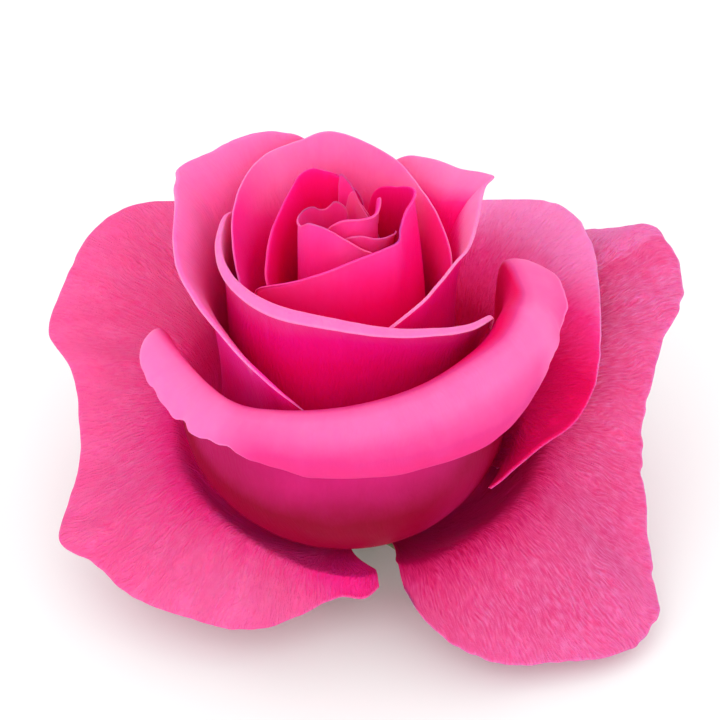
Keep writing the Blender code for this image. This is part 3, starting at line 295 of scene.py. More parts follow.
# Tones, from 0 at the margin through 0.2 light and 0.6 middling to 1 deep, at millimetres
# below a cup petal's margin, below the rolled petal's crest or past a guard petal's shoulder.
# The deepening is partly the petal's own colour and partly painted shade in the cup's recesses and under
# the lips.
HEART_TONES = ((0.4, 0.2), (3, 0.35), (8, 0.6), (16, 1))
POCKET_TONES = ((0.4, 0.45), (3, 0.6), (8, 0.85), (14, 1))
SHADED_TONES = ((0.4, 0.6), (2, 0.75), (6, 0.92), (12, 1))
CUP_OUT_TONES = ((0.6, 0.25), (2, 0.45), (6, 0.6), (20, 0.9), (30, 1))
LIPPED_TONES = ((0.6, 0.2), (5.5, 0.28), (9.5, 0.55), (14, 0.75), (19, 1))
OPEN_TONES = ((0.6, 0.15), (6, 0.22), (12, 0.4), (20, 0.6), (30, 0.8))
CUP_IN_TONES = ((0.6, 0.15), (6, 0.22), (10, 0.45), (15, 0.75), (22, 1))
STEEP_TONES = ((0.6, 0.05), (4, 0.14), (6, 0.45), (8.5, 0.85), (14, 1))
FRONT_OUT_TONES = ((4, 0.4), (9, 0.55), (17, 0.66), (23, 0.85), (29, 1))
FRONT_IN_TONES = ((-8, 0.3), (-5, 0.2), (-2.2, 0.2), (-0.7, 0.35), (0.8, 0.8), (2.5, 1))
GUARD_TONES = ((-4, 1), (0.5, 1), (3, 0.75), (7, 0.42), (12, 0.24), (28, 0.12))
LEFT_TONES = ((0, 1), (2, 0.75), (5, 0.58), (8, 0.4), (12, 0.26), (28, 0.14))
UNDER_TONES = ((-6, 1), (0, 0.85), (6, 0.6), (14, 0.35), (28, 0.2))
UPPER_TONES = ((-4, 1), (4, 0.9), (10, 0.65), (15, 0.5), (20, 0.25), (25, 0.1))
# Finishes: colours of the outer and of the inner face, then their tones.
HEART = (HEART_OUT, HEART_IN, HEART_TONES, HEART_TONES)
POCKET = (HEART_OUT, HEART_IN, HEART_TONES, POCKET_TONES)
SHADED = (HEART_OUT, HEART_IN, HEART_TONES, SHADED_TONES)
CUP = (CUP_OUT, CUP_IN, CUP_OUT_TONES, CUP_IN_TONES)
STEEP = (CUP_OUT, CUP_IN, CUP_OUT_TONES, STEEP_TONES)
LIPPED = (LIPPED_OUT, CUP_IN, LIPPED_TONES, CUP_IN_TONES)
OPEN = (CUP_OUT, OPEN_IN, OPEN_TONES, OPEN_TONES)
FRONT = (FRONT_OUT, FRONT_IN, FRONT_OUT_TONES, FRONT_IN_TONES)
UPPER = (GUARD_OUT, UPPER_IN, UNDER_TONES, UPPER_TONES)
LEFT = (GUARD_OUT, LEFT_IN, UNDER_TONES, LEFT_TONES)
GUARD = (GUARD_OUT, GUARD_IN, UNDER_TONES, GUARD_TONES)
# finish, part of the solid's lip kept, then relief of veins, waves of the margin and furrows (mm)
STYLE = {
    **dict.fromkeys(("core_1", "core_2", "core_3"), (HEART, 0.5, 0.02, 0.1, 0.01)),
    "heart_top": (POCKET, 0.5, 0.02, 0.2, 0.01),
    "heart_right": (POCKET, 0.5, 0.02, 0.15, 0.01),
    "heart_front": (HEART, 0.4, 0.03, 0.25, 0.01),
    **dict.fromkeys(("fold_small", "fold_large"), (HEART, 0.5, 0.02, 0.15, 0.01)),
    **dict.fromkeys(("swirl_left", "swirl_right"), (SHADED, 0.4, 0.03, 0.15, 0.01)),
    "cup_back": (CUP, 0.4, 0.02, 0.2, 0.015),
    "mid_front": (CUP, 0.4, 0.02, 0.1, 0.015),
    "cup_right": (STEEP, 0.5, 0.04, 0.15, 0.015),
    "cup_front": (LIPPED, 1, 0.03, 0.2, 0.015),
    "low_front": (CUP, 0.5, 0.03, 0.1, 0.015),
    "cup_left": (OPEN, 0.5, 0.04, 0.25, 0.02),
    **dict.fromkeys(("mid_back_left", "mid_back_right"), (CUP, 0.6, 0.04, 0.3, 0.02)),
    "front_rolled": (FRONT, 1, 0.01, 0.45, 0.006),
    "guard_right_upper": (UPPER, 0.8, 0.05, 0.3, 0.08),
    "guard_left": (LEFT, 0.8, 0.1, 0.3, 0.15),
    "guard_right": (GUARD, 0.8, 0.1, 0.85, 0.22),
    **dict.fromkeys(("guard_back_right", "guard_back_left"), (GUARD, 0.8, 0.07, 0.4, 0.08)),
}
# Painted shade and painted light along some petals' margins: azimuth, tone added outside, tone added inside
# (more tone paints shade, less paints light).
SHADE = {
    "cup_back": ((0, 0, 0.6), (22, 0, 0.5), (46, 0, 0.05), (125, 0, 0), (152, 0, 0.35), (180, 0, 0.6)),
    "cup_front": ((245, 0, 0), (285, 0.25, 0)),
    "cup_right": ((0, 0.3, 0), (400, 0.3, 0)),
    "swirl_right": ((200, 0.12, 0), (310, 0.12, 0), (335, 0.45, 0)),
    "fold_small": ((0, 0, -0.25), (400, 0, -0.25)),
    "cup_left": ((150, 0.2, 0), (180, 0.2, 0.1), (205, 0, 0.1), (230, -0.15, 0.2), (242, 0.4, 0.6)),
    # the rolled petal: painted shade on the bowl's left, a painted reflection on its middle and right
    "front_rolled": ((205, 0.2, -0.15), (230, 0.15, -0.1), (255, 0, 0), (285, -0.08, 0.03),
                     (322, -0.15, 0), (334, -0.1, -0.08), (344, 0.05, 0.14), (358, 0.1, 0.1)),
    "guard_right_upper": ((340, 0, 0.8), (352, 0, 0.6), (365, 0, 0.35), (380, 0, 0.15), (392, 0, 0)),
    "guard_right": ((384, 0, 0), (391.2, 0, 0.12), (392.4, 0, -0.22), (418, 0, -0.2)),
    "guard_left": ((205, 0, 0), (225, 0, -0.25), (240, 0, -0.3), (252, 0, -0.2), (262, 0, 0)),
}
# Where a rolled lip turns under, its shadowed part gets painted shade: azimuths where this sets in and
# ends.
ROLLED_UNDER = {"front_rolled": (226, 248, 322, 336)}
UNDER_CALM = 0.8  # share of its waving that such a lip loses there
UNDER_TONE = (0.4, 12)  # painted shade added there, and how far from the margin it ends
# Creases run down from the pointed corners: azimuth, height (mm, negative towards the inner face), reach.
CREASES = {"guard_right": ((391.6, -0.7, 5),), "cup_left": ((130, -0.5, 3),)}
CREASE_START = (0.45, 0.85)  # parts of the way from claw to margin where they set in
RIM = (0.1, 0.45)  # from any edge, between which the margin's painted highlight ends
MARGIN_HIGHLIGHT = 0.5  # most that the painted highlight makes the margin lighter than the blade
SIDE_START = 0.3  # a petal's sides count as this much further in than its margin

# ---- fineness, in millimetres ----
HIP_SIDES, STUB_SIDES, STYLE_SIDES = 72, 60, 24
HIP_STEPS, STYLE_STEPS = 6, 4  # points from one corner of a profile to the next
SHARP_BEND = radians(40)
RING_SIDES = (36, 10)  # round the stamens' ring and round its section
COLUMN_PITCH = 0.55  # along the margin
MOST_COLUMNS = 290
CUP_ROWS = (16, 34, 9)  # rows below the belly, up to the crest and over the lip
ROLLED_ROWS = (18, 34, 50)
GUARD_ROWS = (26, 84, 12)
SHOULDER_ROUNDING = (16, 140)  # rows either side of a guard petal's shoulder, rounds of averaging
BLADE_THICKNESS = 0.36
MARGIN_THICKNESS = 0.16
THICKENING = 5  # from the margin to the full thickness
SWAYS = ((0.6, 4.2), (0.4, 1.7))  # waves of the margin in its own line: share, spacing
BEND = (0.8, 6)  # and out of it
WAVE_START = 3  # from a petal's side to the full wave
ROLLED_LIP = (2, 4)  # lengths of lip at which the wave passes from the crest to the lip
LIP_WAVE = 3.5  # and the gain that it has there
FAN_PITCH = 1.3  # spacing of the veins at the margin
FAN_DRIFT = (1.2, 9, 5)  # of a vein: how many spacings, over what width, how often on its way
VEINS = ((0.55, 1, 5.5), (0.35, 1.9, 3), (0.35, 0.45, 8))  # height, fineness, length
VEIN_FADE = (0.4, 4)  # distances from the margin over which they rise
VEIN_START = (0.05, 0.3)  # and parts of the way up
UNDULATION = (0.12, 11, 13)  # broad and soft: height, width, length
UNDULATION_START = (0.2, 0.5)
FURROW = (0.45, 1.9)  # width and length of the fine furrows
FURROW_DRIFT = (1.6, 4)  # widths that they stray, and over what distance
FURROW_CLAW = (0.35, 0.25, 0.5)  # share of their depth near the claw, parts of the way up to all of it
FURROW_MARGIN = (0.5, 0.8, 1)  # share that is lost towards the margin, and where
FURROW_HEIGHT = 16  # of the noise that makes them, per millimetre of a petal's furrow depth
FURROW_SHADING = 5  # and the tone that they add: painted shade in the grooves and painted light on the ridges
MOTTLE = 0.16  # depth of the clouding of the tone
VEIN_SHADING = (0.02, 0.6)  # contrast of the veins' colour, painted light on raised veins and painted shade between them: least, and more by their height


# ---- shape of a petal ----
def direction(angle):
    """Unit steps in the (radius, height) plane, the angles taken from straight up."""
    a = np.radians(angle)
    return np.stack([np.sin(a), np.cos(a)], axis=-1)


def bezier(a, b, c, d, steps):
    """(columns, steps, 2) points after the first on one cubic curve for each column."""
    t = ((np.arange(steps) + 1.0) / steps)[None, :, None]
    a, b, c, d = (np.broadcast_to(p, d.shape)[:, None, :] for p in (a, b, c, d))
    return (1 - t) ** 3 * a + 3 * t * (1 - t) ** 2 * b + 3 * t * t * (1 - t) * c + t ** 3 * d


def through_stations(rows):
    """Catmull-Rom spline through the stations, spaced by the length of the crest."""
    rows = np.array(rows, float)
    radius, height = rows[:, -5], rows[:, -4]
    along = np.radians(np.diff(rows[:, 0])) * (radius[1:] + radius[:-1]) / 2
    step = np.sqrt(along ** 2 + np.diff(height) ** 2 + np.diff(radius) ** 2)
    knots = np.concatenate([[0.0], np.cumsum(step)])
    slopes = np.gradient(rows, knots, axis=0)
    where = np.linspace(0, knots[-1], min(MOST_COLUMNS, int(knots[-1] / COLUMN_PITCH)) + 1)
    cell = np.clip(np.searchsorted(knots, where, side="right") - 1, 0, len(step) - 1)
    width = step[cell][:, None]
    t = (where - knots[cell])[:, None] / width
    across = ((2 * t ** 3 - 3 * t ** 2 + 1) * rows[cell] + (t ** 3 - 2 * t ** 2 + t) * width * slopes[cell]
              + (3 * t ** 2 - 2 * t ** 3) * rows[cell + 1] + (t ** 3 - t ** 2) * width * slopes[cell + 1])
    return across, where


def meridians(claw, slope, across, rows, folded):
    """The petal's lines from claw to margin, (columns, points, 2) as radius and height."""
    belly, crest = across[:, 1:3], across[:, 4:6]
    out_of_claw = (GUARD_RUN if folded else CUP_RUN) * (belly[:, :1] - claw[0])
    leave = claw + out_of_claw * np.array([1.0, tan(radians(slope))])
    rise = (GUARD_RISE if folded else CUP_RISE) * (belly[:, 1:2] - claw[1])
    arrive = belly - rise * direction(across[:, 3])
    low = bezier(claw[None, :], leave, arrive, belly, rows[0])
    chord = np.linalg.norm(crest - belly, axis=1)[:, None]
    neck = HANDLE * chord
    if not folded:
        waist = crest[:, :1] - WAIST * np.minimum(belly[:, :1], crest[:, :1])
        flare = np.radians(across[:, 6:7])
        neck = np.where(flare > 0, np.minimum(neck, waist / np.sin(np.maximum(flare, 0.01))), neck)
    shoulder = (SHOULDER_HANDLE if folded else HANDLE) * chord * direction(across[:, 3])
    wall = bezier(belly, belly + shoulder, crest - neck * direction(across[:, 6]), crest, rows[1])
    end = crest + np.stack([across[:, 7], -across[:, 8]], axis=1)
    angle = across[:, 6]
    turn = np.clip(2 * (np.degrees(np.arctan2(across[:, 7], -across[:, 8])) - angle), *LIP_TURN)
    reach = HANDLE * np.linalg.norm(end - crest, axis=1)[:, None]
    lip = bezier(crest, crest + reach * direction(angle), end - reach * direction(angle + turn), end,
                 rows[2])
    start = np.broadcast_to(claw, (len(across), 1, 2))
    return np.concatenate([start, low, wall, lip], axis=1)


def noise(x, y, seed):
    """Smooth random field between -1 and 1 with a cell of one unit."""
    table = np.random.default_rng(seed).random((256, 256)) * 2 - 1
    x, y = np.broadcast_arrays(x, y)
    i, j = np.floor(x).astype(int), np.floor(y).astype(int)
    u, v = x - i, y - j
    u, v = u * u * u * (u * (6 * u - 15) + 10), v * v * v * (v * (6 * v - 15) + 10)
    near = table[i & 255, j & 255] * (1 - u) + table[(i + 1) & 255, j & 255] * u
    far = table[i & 255, (j + 1) & 255] * (1 - u) + table[(i + 1) & 255, (j + 1) & 255] * u
    return near * (1 - v) + far * v


def smooth(x, low, high):
    """Rises from 0 at low to 1 at high."""
    t = np.clip((x - low) / (high - low), 0.0, 1.0)
    return t * t * (3 - 2 * t)


def surface_normals(grid):
    """Unit normals of a (columns, rows, 3) grid, away from the bloom's axis."""
    normal = np.cross(np.gradient(grid, axis=0), np.gradient(grid, axis=1))
    return normal / np.maximum(np.linalg.norm(normal, axis=2), 1e-9)[:, :, None]


def rounded(lines, at, reach, rounds):
    """Rounds the bend of the meridians around one row."""
    near = np.exp(-((np.arange(lines.shape[1]) - at) / reach) ** 2)[None, 1:-1, None]
    lines = lines.copy()
    for _ in range(rounds):
        between = 0.5 * (lines[:, 2:] + lines[:, :-2])
        lines[:, 1:-1] += 0.5 * near * (between - lines[:, 1:-1])
    return lines


def wave_margin(across, length, wave, under, seed):
    """Waves the crest in its own line and out of it, and a rolled lip in its depth."""
    sway = sum(share * noise(length / pitch, 2 * i + 0.5, seed + i)
               for i, (share, pitch) in enumerate(SWAYS))
    bend = BEND[0] * noise(length / BEND[1], 0.5, seed + 2)
    up = direction(across[:, 6])
    out = np.stack([up[:, 1], -up[:, 0]], axis=1)
    lip = np.hypot(across[:, 7], across[:, 8])
    rolled = smooth(lip, *ROLLED_LIP)
    inward = smooth(np.minimum(length, length[-1] - length), 0.0, WAVE_START)
    calm = wave * inward * (1 - UNDER_CALM * under)
    across[:, 4:6] += (calm * (1 - rolled))[:, None] * (sway[:, None] * up + bend[:, None] * out)
    across[:, 7:9] *= (1 + LIP_WAVE * calm * rolled * sway / lip)[:, None]


def wound(lines, claw_azimuth, claw, azimuths, rows, full, lean):
    """The meridians set round the axis: narrow at the claw and full some way up."""
    belly_part = GUARD_BELLY_PART if rows is GUARD_ROWS else 0.5
    part = np.interp(np.arange(lines.shape[1]), (0, rows[0], rows[0] + rows[1]), (0.0, belly_part, 1.0))
    narrow = min(CLAW_SHARE, CLAW_WIDTH / (claw[0] * radians(azimuths[-1] - azimuths[0])))
    spread = narrow + (1 - narrow) * np.sin(np.minimum(part / full, 1.0) * pi / 2) ** SPREAD_POWER
    turn = np.radians(claw_azimuth + (azimuths[:, None] - claw_azimuth) * spread[None, :])
    return np.stack([lean * lines[:, :, 1] + lines[:, :, 0] * np.cos(turn),
                     lines[:, :, 0] * np.sin(turn), lines[:, :, 1]], axis=2)


def skin_tones(name, azimuths, depth, to_margin, edge, under):
    """Tone of the outer and of the inner face, with painted light and shade by azimuth, painted shade under
    a rolled lip and a painted highlight at the margin.
    """
    shade = np.array(SHADE.get(name, ((0, 0, 0),)), float)
    # painted highlight along the margin, held back where the lip turns under; painted shade under that lip
    highlight = MARGIN_HIGHLIGHT * (1 - under[:, None]) * (1 - smooth(edge, *RIM))
    shadow = UNDER_TONE[0] * under[:, None] * (1 - smooth(to_margin, 0.0, UNDER_TONE[1]))
    tones = []
    for side, (stops, extra) in enumerate(zip(STYLE[name][0][2:], (0.0, shadow)), 1):
        where, level = zip(*stops)
        added = np.interp(azimuths, shade[:, 0], shade[:, side])[:, None] + extra
        blade = np.clip(np.interp(depth, where, level) + added, 0.0, 1.0)
        tones.append(np.maximum(blade - highlight, 0.0))
    return tones


def fine_petal(name, claw_azimuth, order, full, stations, rows, lean, number):
    """Middle surface, normals, thickness and the fields that dress it."""
    lip_kept, vein, wave, furrow = STYLE[name][1:]
    seed = 100 + 10 * number
    middle = (stations[0][0] + stations[-1][0]) / 2
    claw_azimuth += 360 * round((middle - claw_azimuth) / 360)
    claw = np.array([np.interp(order, (0, 1), CLAW_RADIUS), np.interp(order, (0, 1), CLAW_HEIGHT)])
    slope = np.interp(order, (0, 1), CLAW_START)
    folded = rows is GUARD_ROWS
    across, length = through_stations(stations)
    azimuths = across[:, 0]
    across[:, 4] += (1 - lip_kept) * across[:, 7]
    across[:, 5] -= (1 - lip_kept) * across[:, 8]
    across[:, 7:9] *= lip_kept
    under = np.zeros(len(length))
    if name in ROLLED_UNDER:
        a, b, c, d = ROLLED_UNDER[name]
        under = smooth(azimuths, a, b) * (1 - smooth(azimuths, c, d))
    wave_margin(across, length, wave, under, seed)
    lines = meridians(claw, slope, across, rows, folded)
    if folded:
        lines = rounded(lines, rows[0], *SHOULDER_ROUNDING)
    grid = wound(lines, claw_azimuth, claw, azimuths, rows, full, lean)

    step = np.linalg.norm(np.diff(lines, axis=1), axis=2)
    along = np.concatenate([np.zeros((len(lines), 1)), np.cumsum(step, axis=1)], axis=1)
    to_margin = along[:, -1:] - along
    to_side = np.minimum(length, length[-1] - length)[:, None]
    share = along / along[:, -1:]
    s = length[:, None]

    # veins fan out from the claw; a broad soft undulation lies under them
    fan = s / FAN_PITCH + FAN_DRIFT[0] * noise(s / FAN_DRIFT[1], share * FAN_DRIFT[2], seed + 3)
    relief = sum(height * noise(fineness * fan, along / reach, seed + i)
                 for i, (height, fineness, reach) in enumerate(VEINS, 4))
    height, width, reach = UNDULATION
    broad = height * noise(s / width, along / reach, seed + 7) * smooth(share, *UNDULATION_START)
    shift = vein * relief * (smooth(to_margin, *VEIN_FADE) * smooth(share, *VEIN_START)) + broad
    for azimuth, height, reach in CREASES.get(name, ()):
        aside = np.abs(np.radians(azimuths[:, None] - azimuth)) * lines[:, :, 0]
        shift = shift + height * np.exp(-aside / reach) * smooth(share, *CREASE_START)
    grid = grid + shift[:, :, None] * surface_normals(grid)

    edge = np.minimum(to_margin, to_side + SIDE_START)
    thick = MARGIN_THICKNESS + (BLADE_THICKNESS - MARGIN_THICKNESS) * smooth(edge, 0.0, THICKENING)
    depth = along - along[:, rows[0]:rows[0] + 1] if folded else to_margin
    if rows is ROLLED_ROWS:
        depth = along[:, rows[0] + rows[1]][:, None] - along
    outer, inner = skin_tones(name, azimuths, depth, to_margin, edge, under)
    stray = FURROW_DRIFT[0] * noise(s / FURROW_DRIFT[1], along / FURROW_DRIFT[1], seed + 8)
    grain = np.stack([s / FURROW[0] + stray, along / FURROW[1], number * np.ones_like(along)], axis=2)
    least, first, last = FURROW_CLAW
    deepened = least + (1 - least) * smooth(share, first, last)
    lost, first, last = FURROW_MARGIN
    furrows = furrow * deepened * (1 - lost * smooth(share, first, last))
    fields = {"tone_outer": outer, "tone_inner": inner, "relief": relief, "furrow": furrows, "grain": grain}
    return grid, surface_normals(grid), thick, fields


# ---- meshes ----
def place(name, data):
    thing = bpy.data.objects.new(name, data)
    bpy.context.scene.collection.objects.link(thing)
    return thing


def add_mesh(name, points, faces, skins):
    """One named object from points in millimetres of the bloom's frame."""
    mesh = bpy.data.meshes.new(name)
    mesh.from_pydata((np.array(points) * MM + ORIGIN).tolist(), [], faces)
    mesh.shade_smooth()
    for skin in skins:
        mesh.materials.append(skin)
    return place(name, mesh)


def sheet_mesh(name, grid, normal, thick, skins, fields):
    """A closed sheet: outer face, inner face and the narrow edge between them."""
    columns, rows = grid.shape[:2]
    half = 0.5 * thick[:, :, None] * normal
    points = np.concatenate([(grid + half).reshape(-1, 3), (grid - half).reshape(-1, 3)])
    index = np.arange(columns * rows).reshape(columns, rows)
    a, b, c, d = index[:-1, :-1], index[1:, :-1], index[1:, 1:], index[:-1, 1:]
    outer = np.stack([a, b, c, d], axis=-1).reshape(-1, 4)
    inner = outer[:, ::-1] + columns * rows
    ring = np.concatenate([index[0, :-1], index[:-1, -1], index[-1, :0:-1], index[:0:-1, 0]])
    following = np.roll(ring, -1)
    edge = np.stack([ring, following, following + columns * rows, ring + columns * rows], axis=-1)
    faces = np.concatenate([outer, inner, edge])
    thing = add_mesh(name, points, faces.tolist(), skins)
    sides = np.zeros(len(faces), dtype=np.int32)
    sides[len(outer):len(outer) + len(inner)] = 1
    thing.data.polygons.foreach_set("material_index", sides)
    for key, field in fields.items():
        kind, slot = ("FLOAT", "value") if field.ndim == 2 else ("FLOAT_VECTOR", "vector")
        made = thing.data.attributes.new(key, kind, "POINT")
        made.data.foreach_set(slot, np.tile(field.reshape(-1), 2).astype(np.float32))
    thing.data.update()
    return thing


def lean_back(height):
    return HIP_LEAN * min(0.0, height - HIP_LEAN_FROM)


def tube_faces(first, sections, sides, closed):
    """Quads between rings of points; a closed tube joins its last ring to its first."""
    faces = []
    for ring in range(sections if closed else sections - 1):
        here, there = first + ring * sides, first + (ring + 1) % sections * sides
        for s in range(sides):
            t = (s + 1) % sides
            faces.append((here + s, there + s, there + t, here + t))
    return faces


def closed_faces(first, sections, sides):
    """A tube, top ring first, with both ends closed."""
    last = first + (sections - 1) * sides
    ends = [tuple(first + s for s in range(sides)), tuple(last + s for s in reversed(range(sides)))]
    return tube_faces(first, sections, sides, False) + ends


def turned(name, profile, sides, tissue, ripple=0.0):
    """A closed turned body whose rings follow the leaning axis, top of the profile first."""
    points = []
    for radius, height in profile:
        for s in range(sides):
            a = 2 * pi * s / sides
            r = radius * (1 + ripple * sin(RIBS * a + RIB_TURN)
                          + 0.5 * ripple * sin(FINE_RIBS * a + height))
            points.append((r * cos(a), lean_back(height) + r * sin(a), height))
    thing = add_mesh(name, points, closed_faces(0, len(profile), sides), (plant_skin(tissue),))
    thing.data.set_sharp_from_angle(angle=SHARP_BEND)
    return thing


# ---- materials ----
def node(tree, kind, **values):
    made = tree.nodes.new("ShaderNode" + kind)
    for key, value in values.items():
        setattr(made, key, value)
    return made


def fill(made, values):
    """Sets constants on a node's sockets."""
    for key, value in values.items():
        made.inputs[key].default_value = value
    return made


def maths(tree, operation, *inputs):
    """Output of a math node whose inputs are constants or other outputs."""
    made = node(tree, "Math", operation=operation)
    for socket, value in zip(made.inputs, inputs):
        if isinstance(value, bpy.types.NodeSocket):
            tree.links.new(value, socket)
        else:
            socket.default_value = value
    return made.outputs[0]


def noise_node(tree, vector, values):
    made = fill(node(tree, "TexNoise"), values)
    tree.links.new(vector, made.inputs["Vector"])
    return made.outputs["Fac"]


def ramp_node(tree, factor, positions, colours):
    ramp = node(tree, "ValToRGB")
    elements = ramp.color_ramp.elements
    for position in positions[1:-1]:
        elements.new(position)
    for element, position, colour in zip(elements, positions, colours):
        element.position = position
        element.color = (*colour, 1.0)
    tree.links.new(factor, ramp.inputs["Fac"])
    return ramp.outputs["Color"]


def new_skin(name, roughness, tissue):
    """A material, its tree and its shader."""
    material = bpy.data.materials.new(name)
    material.use_nodes = True
    shader = material.node_tree.nodes["Principled BSDF"]
    fill(shader, {"Roughness": roughness, **tissue})
    return material, material.node_tree, shader


def add_bump(tree, shader, height, strength, distance):
    bump = fill(node(tree, "Bump"), {"Strength": strength, "Distance": distance * MM})
    tree.links.new(height, bump.inputs["Height"])
    tree.links.new(bump.outputs["Normal"], shader.inputs["Normal"])


PETAL = {"Subsurface Weight": 0.85, "Subsurface Radius": (1, 0.15, 0.35), "Subsurface Scale": 0.0004,
         "Specular IOR Level": 0.05}
OUTER_ROUGHNESS, INNER_ROUGHNESS = 0.5, 0.6
CLOUD = {"Scale": 110, "Detail": 8, "Roughness": 0.62}
RIDGES = {"Scale": 1, "Detail": 3}
TONE_STOPS = (0, 0.2, 0.6)  # tones of the first three colours; the last one is at the ramp's end


def petal_skin(name, side, colours, vein_shading, roughness):
    """Petal tissue: colour deepens from the margin to the claw, partly its own colour and partly painted
    shade, with veins and fine furrows that add painted light and shade.
    """
    material, tree, shader = new_skin("%s_%s_skin" % (name, side), roughness, PETAL)
    tone, relief, grain, furrow = (node(tree, "Attribute", attribute_name=key)
                                   for key in ("tone_" + side, "relief", "grain", "furrow"))
    where = node(tree, "TexCoord")
    cloud = noise_node(tree, where.outputs["Object"], CLOUD)
    ridges = noise_node(tree, grain.outputs["Vector"], RIDGES)
    depth = maths(tree, "MULTIPLY", ridges, furrow.outputs["Fac"])
    # the furrows' tone: painted shade in their grooves, painted light on their ridges
    centred = maths(tree, "MULTIPLY_ADD", furrow.outputs["Fac"], -0.5, depth)
    furrow_shaded = maths(tree, "MULTIPLY_ADD", centred, -FURROW_SHADING, tone.outputs["Fac"])
    mottled = maths(tree, "MULTIPLY_ADD", cloud, MOTTLE, furrow_shaded)
    stops = [stop + 0.5 * MOTTLE for stop in TONE_STOPS] + [1.0]
    colour = ramp_node(tree, mottled, stops, colours)
    # veins: painted light on the raised ones, painted shade between them
    vein_shaded = maths(tree, "MULTIPLY_ADD", relief.outputs["Fac"], vein_shading, 1.0)
    tint = node(tree, "Gamma")
    tree.links.new(colour, tint.inputs["Color"])
    tree.links.new(maths(tree, "DIVIDE", 1.0, vein_shaded), tint.inputs["Gamma"])
    tree.links.new(tint.outputs["Color"], shader.inputs["Base Color"])
    add_bump(tree, shader, depth, 1.0, FURROW_HEIGHT)
    return material


PLANT = {"Subsurface Weight": 0.15, "Subsurface Radius": (0.6, 1, 0.3), "Subsurface Scale": 0.001}
PLANT_STOPS = (0.3, 0.72)  # values of the cloud that have the dark and the pale colour
PLANT_DETAIL = 5
PLANT_GRAIN = 12  # times finer than the cloud
PLANT_BUMP = 0.4
# dark and pale colour, scale of the cloud, roughness, height of the grain (mm),
# scale of both along the bloom's axis as a share of that across it
PLANT_SKINS = {
    "hip": ((0.06, 0.14, 0.03), (0.13, 0.24, 0.06), 260, 0.5, 0.05, 1),
    "stem": ((0.07, 0.15, 0.035), (0.12, 0.23, 0.055), 220, 0.5, 0.05, 0.15),
    "sepal_upper": ((0.15, 0.27, 0.1), (0.26, 0.38, 0.18), 420, 0.75, 0.04, 1),
    "sepal_lower": ((0.06, 0.15, 0.03), (0.12, 0.25, 0.06), 300, 0.5, 0.05, 1),
    "anther": ((0.6, 0.3, 0.04), (0.85, 0.58, 0.12), 900, 0.8, 0.05, 1),
    "style": ((0.35, 0.45, 0.12), (0.62, 0.6, 0.25), 600, 0.6, 0.04, 1),
}


def plant_skin(name):
    """Green or yellow tissue with a mottled colour and a fine grain."""
    dark, pale, scale, roughness, grain_height, upward = PLANT_SKINS[name]
    material, tree, shader = new_skin(name + "_skin", roughness, PLANT)
    where = node(tree, "TexCoord")
    aim = fill(node(tree, "Mapping"), {"Scale": (1, 1, upward)})
    tree.links.new(where.outputs["Object"], aim.inputs["Vector"])
    cloud = noise_node(tree, aim.outputs["Vector"], {"Scale": scale, "Detail": PLANT_DETAIL})
    tree.links.new(ramp_node(tree, cloud, PLANT_STOPS, (dark, pale)), shader.inputs["Base Color"])
    grain = noise_node(tree, aim.outputs["Vector"], {"Scale": PLANT_GRAIN * scale})
    add_bump(tree, shader, grain, PLANT_BUMP, grain_height)
    return material


# ---- pieces ----
stub_low = np.array([-STEM_RADIUS, lean_back(STEM_TOP) - STEM_RADIUS, FLOOR])
ORIGIN = np.array(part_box("stem_stub")[0]) - stub_low * MM
HEART_PETALS = 8  # cup petals, from the middle outwards, labelled as the heart's; nothing reads the label


def dress(piece, cad_node):
    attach(piece, "root")
    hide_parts(cad_node)


def petals():
    total = len(CUP_PETALS) + len(GUARD_PETALS) - 1
    sheets = []
    for index, (name, claw_azimuth, belly, crest) in enumerate(CUP_PETALS):
        steps = np.linspace(crest[0][0], crest[-1][0], len(belly))
        stations = [(az, np.interp(az, steps, belly), BELLY_HEIGHT, 0, r, z, flare, out, down)
                    for az, r, z, flare, out, down in crest]
        order = index / total
        rows = ROLLED_ROWS if name == "front_rolled" else CUP_ROWS
        sheets.append((name, claw_azimuth, order, np.interp(order, (0, 1), SPREAD_END), stations, rows,
                       CUP_LEAN, "petal_heart" if index < HEART_PETALS else "petal_cup"))
    for index, (name, claw_azimuth, full, stations) in enumerate(GUARD_PETALS, len(CUP_PETALS)):
        sheets.append((name, claw_azimuth, index / total, full, stations, GUARD_ROWS, 0.0, "petal_guard"))
    for number, (*shape, slot) in enumerate(sheets):
        (outside, inside, _, _), _, vein = STYLE[shape[0]][:3]
        name = "petal_" + shape[0]
        grid, normal, thick, fields = fine_petal(*shape, number)
        vein_shading = VEIN_SHADING[0] + VEIN_SHADING[1] * vein
        skins = (petal_skin(name, "outer", outside, vein_shading, OUTER_ROUGHNESS),
                 petal_skin(name, "inner", inside, vein_shading, INNER_ROUGHNESS))
        dress(sheet_mesh("fine_" + name, grid, normal, thick, skins, fields), name)


def cone_height(radius):
    """Height of the receptacle, a cone that carries the claws."""
    fall = (CLAW_HEIGHT[1] - CLAW_HEIGHT[0]) / (CLAW_RADIUS[1] - CLAW_RADIUS[0])
    return CLAW_HEIGHT[0] + fall * (radius - CLAW_RADIUS[0]) - CONE_GAP * hypot(1, fall)


def smooth_profile(corners, steps):
    """Catmull-Rom through the corners of a turned profile."""
    p = np.array(corners, float)
    p = np.vstack([2 * p[0] - p[1], p, 2 * p[-1] - p[-2]])
    line = []
    for i in range(1, len(p) - 2):
        for t in np.arange(steps) / steps:
            line.append(0.5 * (2 * p[i] + (p[i + 1] - p[i - 1]) * t
                               + (2 * p[i - 1] - 5 * p[i] + 4 * p[i + 1] - p[i + 2]) * t ** 2
                               + (3 * p[i] - p[i - 1] - 3 * p[i + 1] + p[i + 2]) * t ** 3))
    line.append(p[-2])
    return [tuple(q) for q in line]


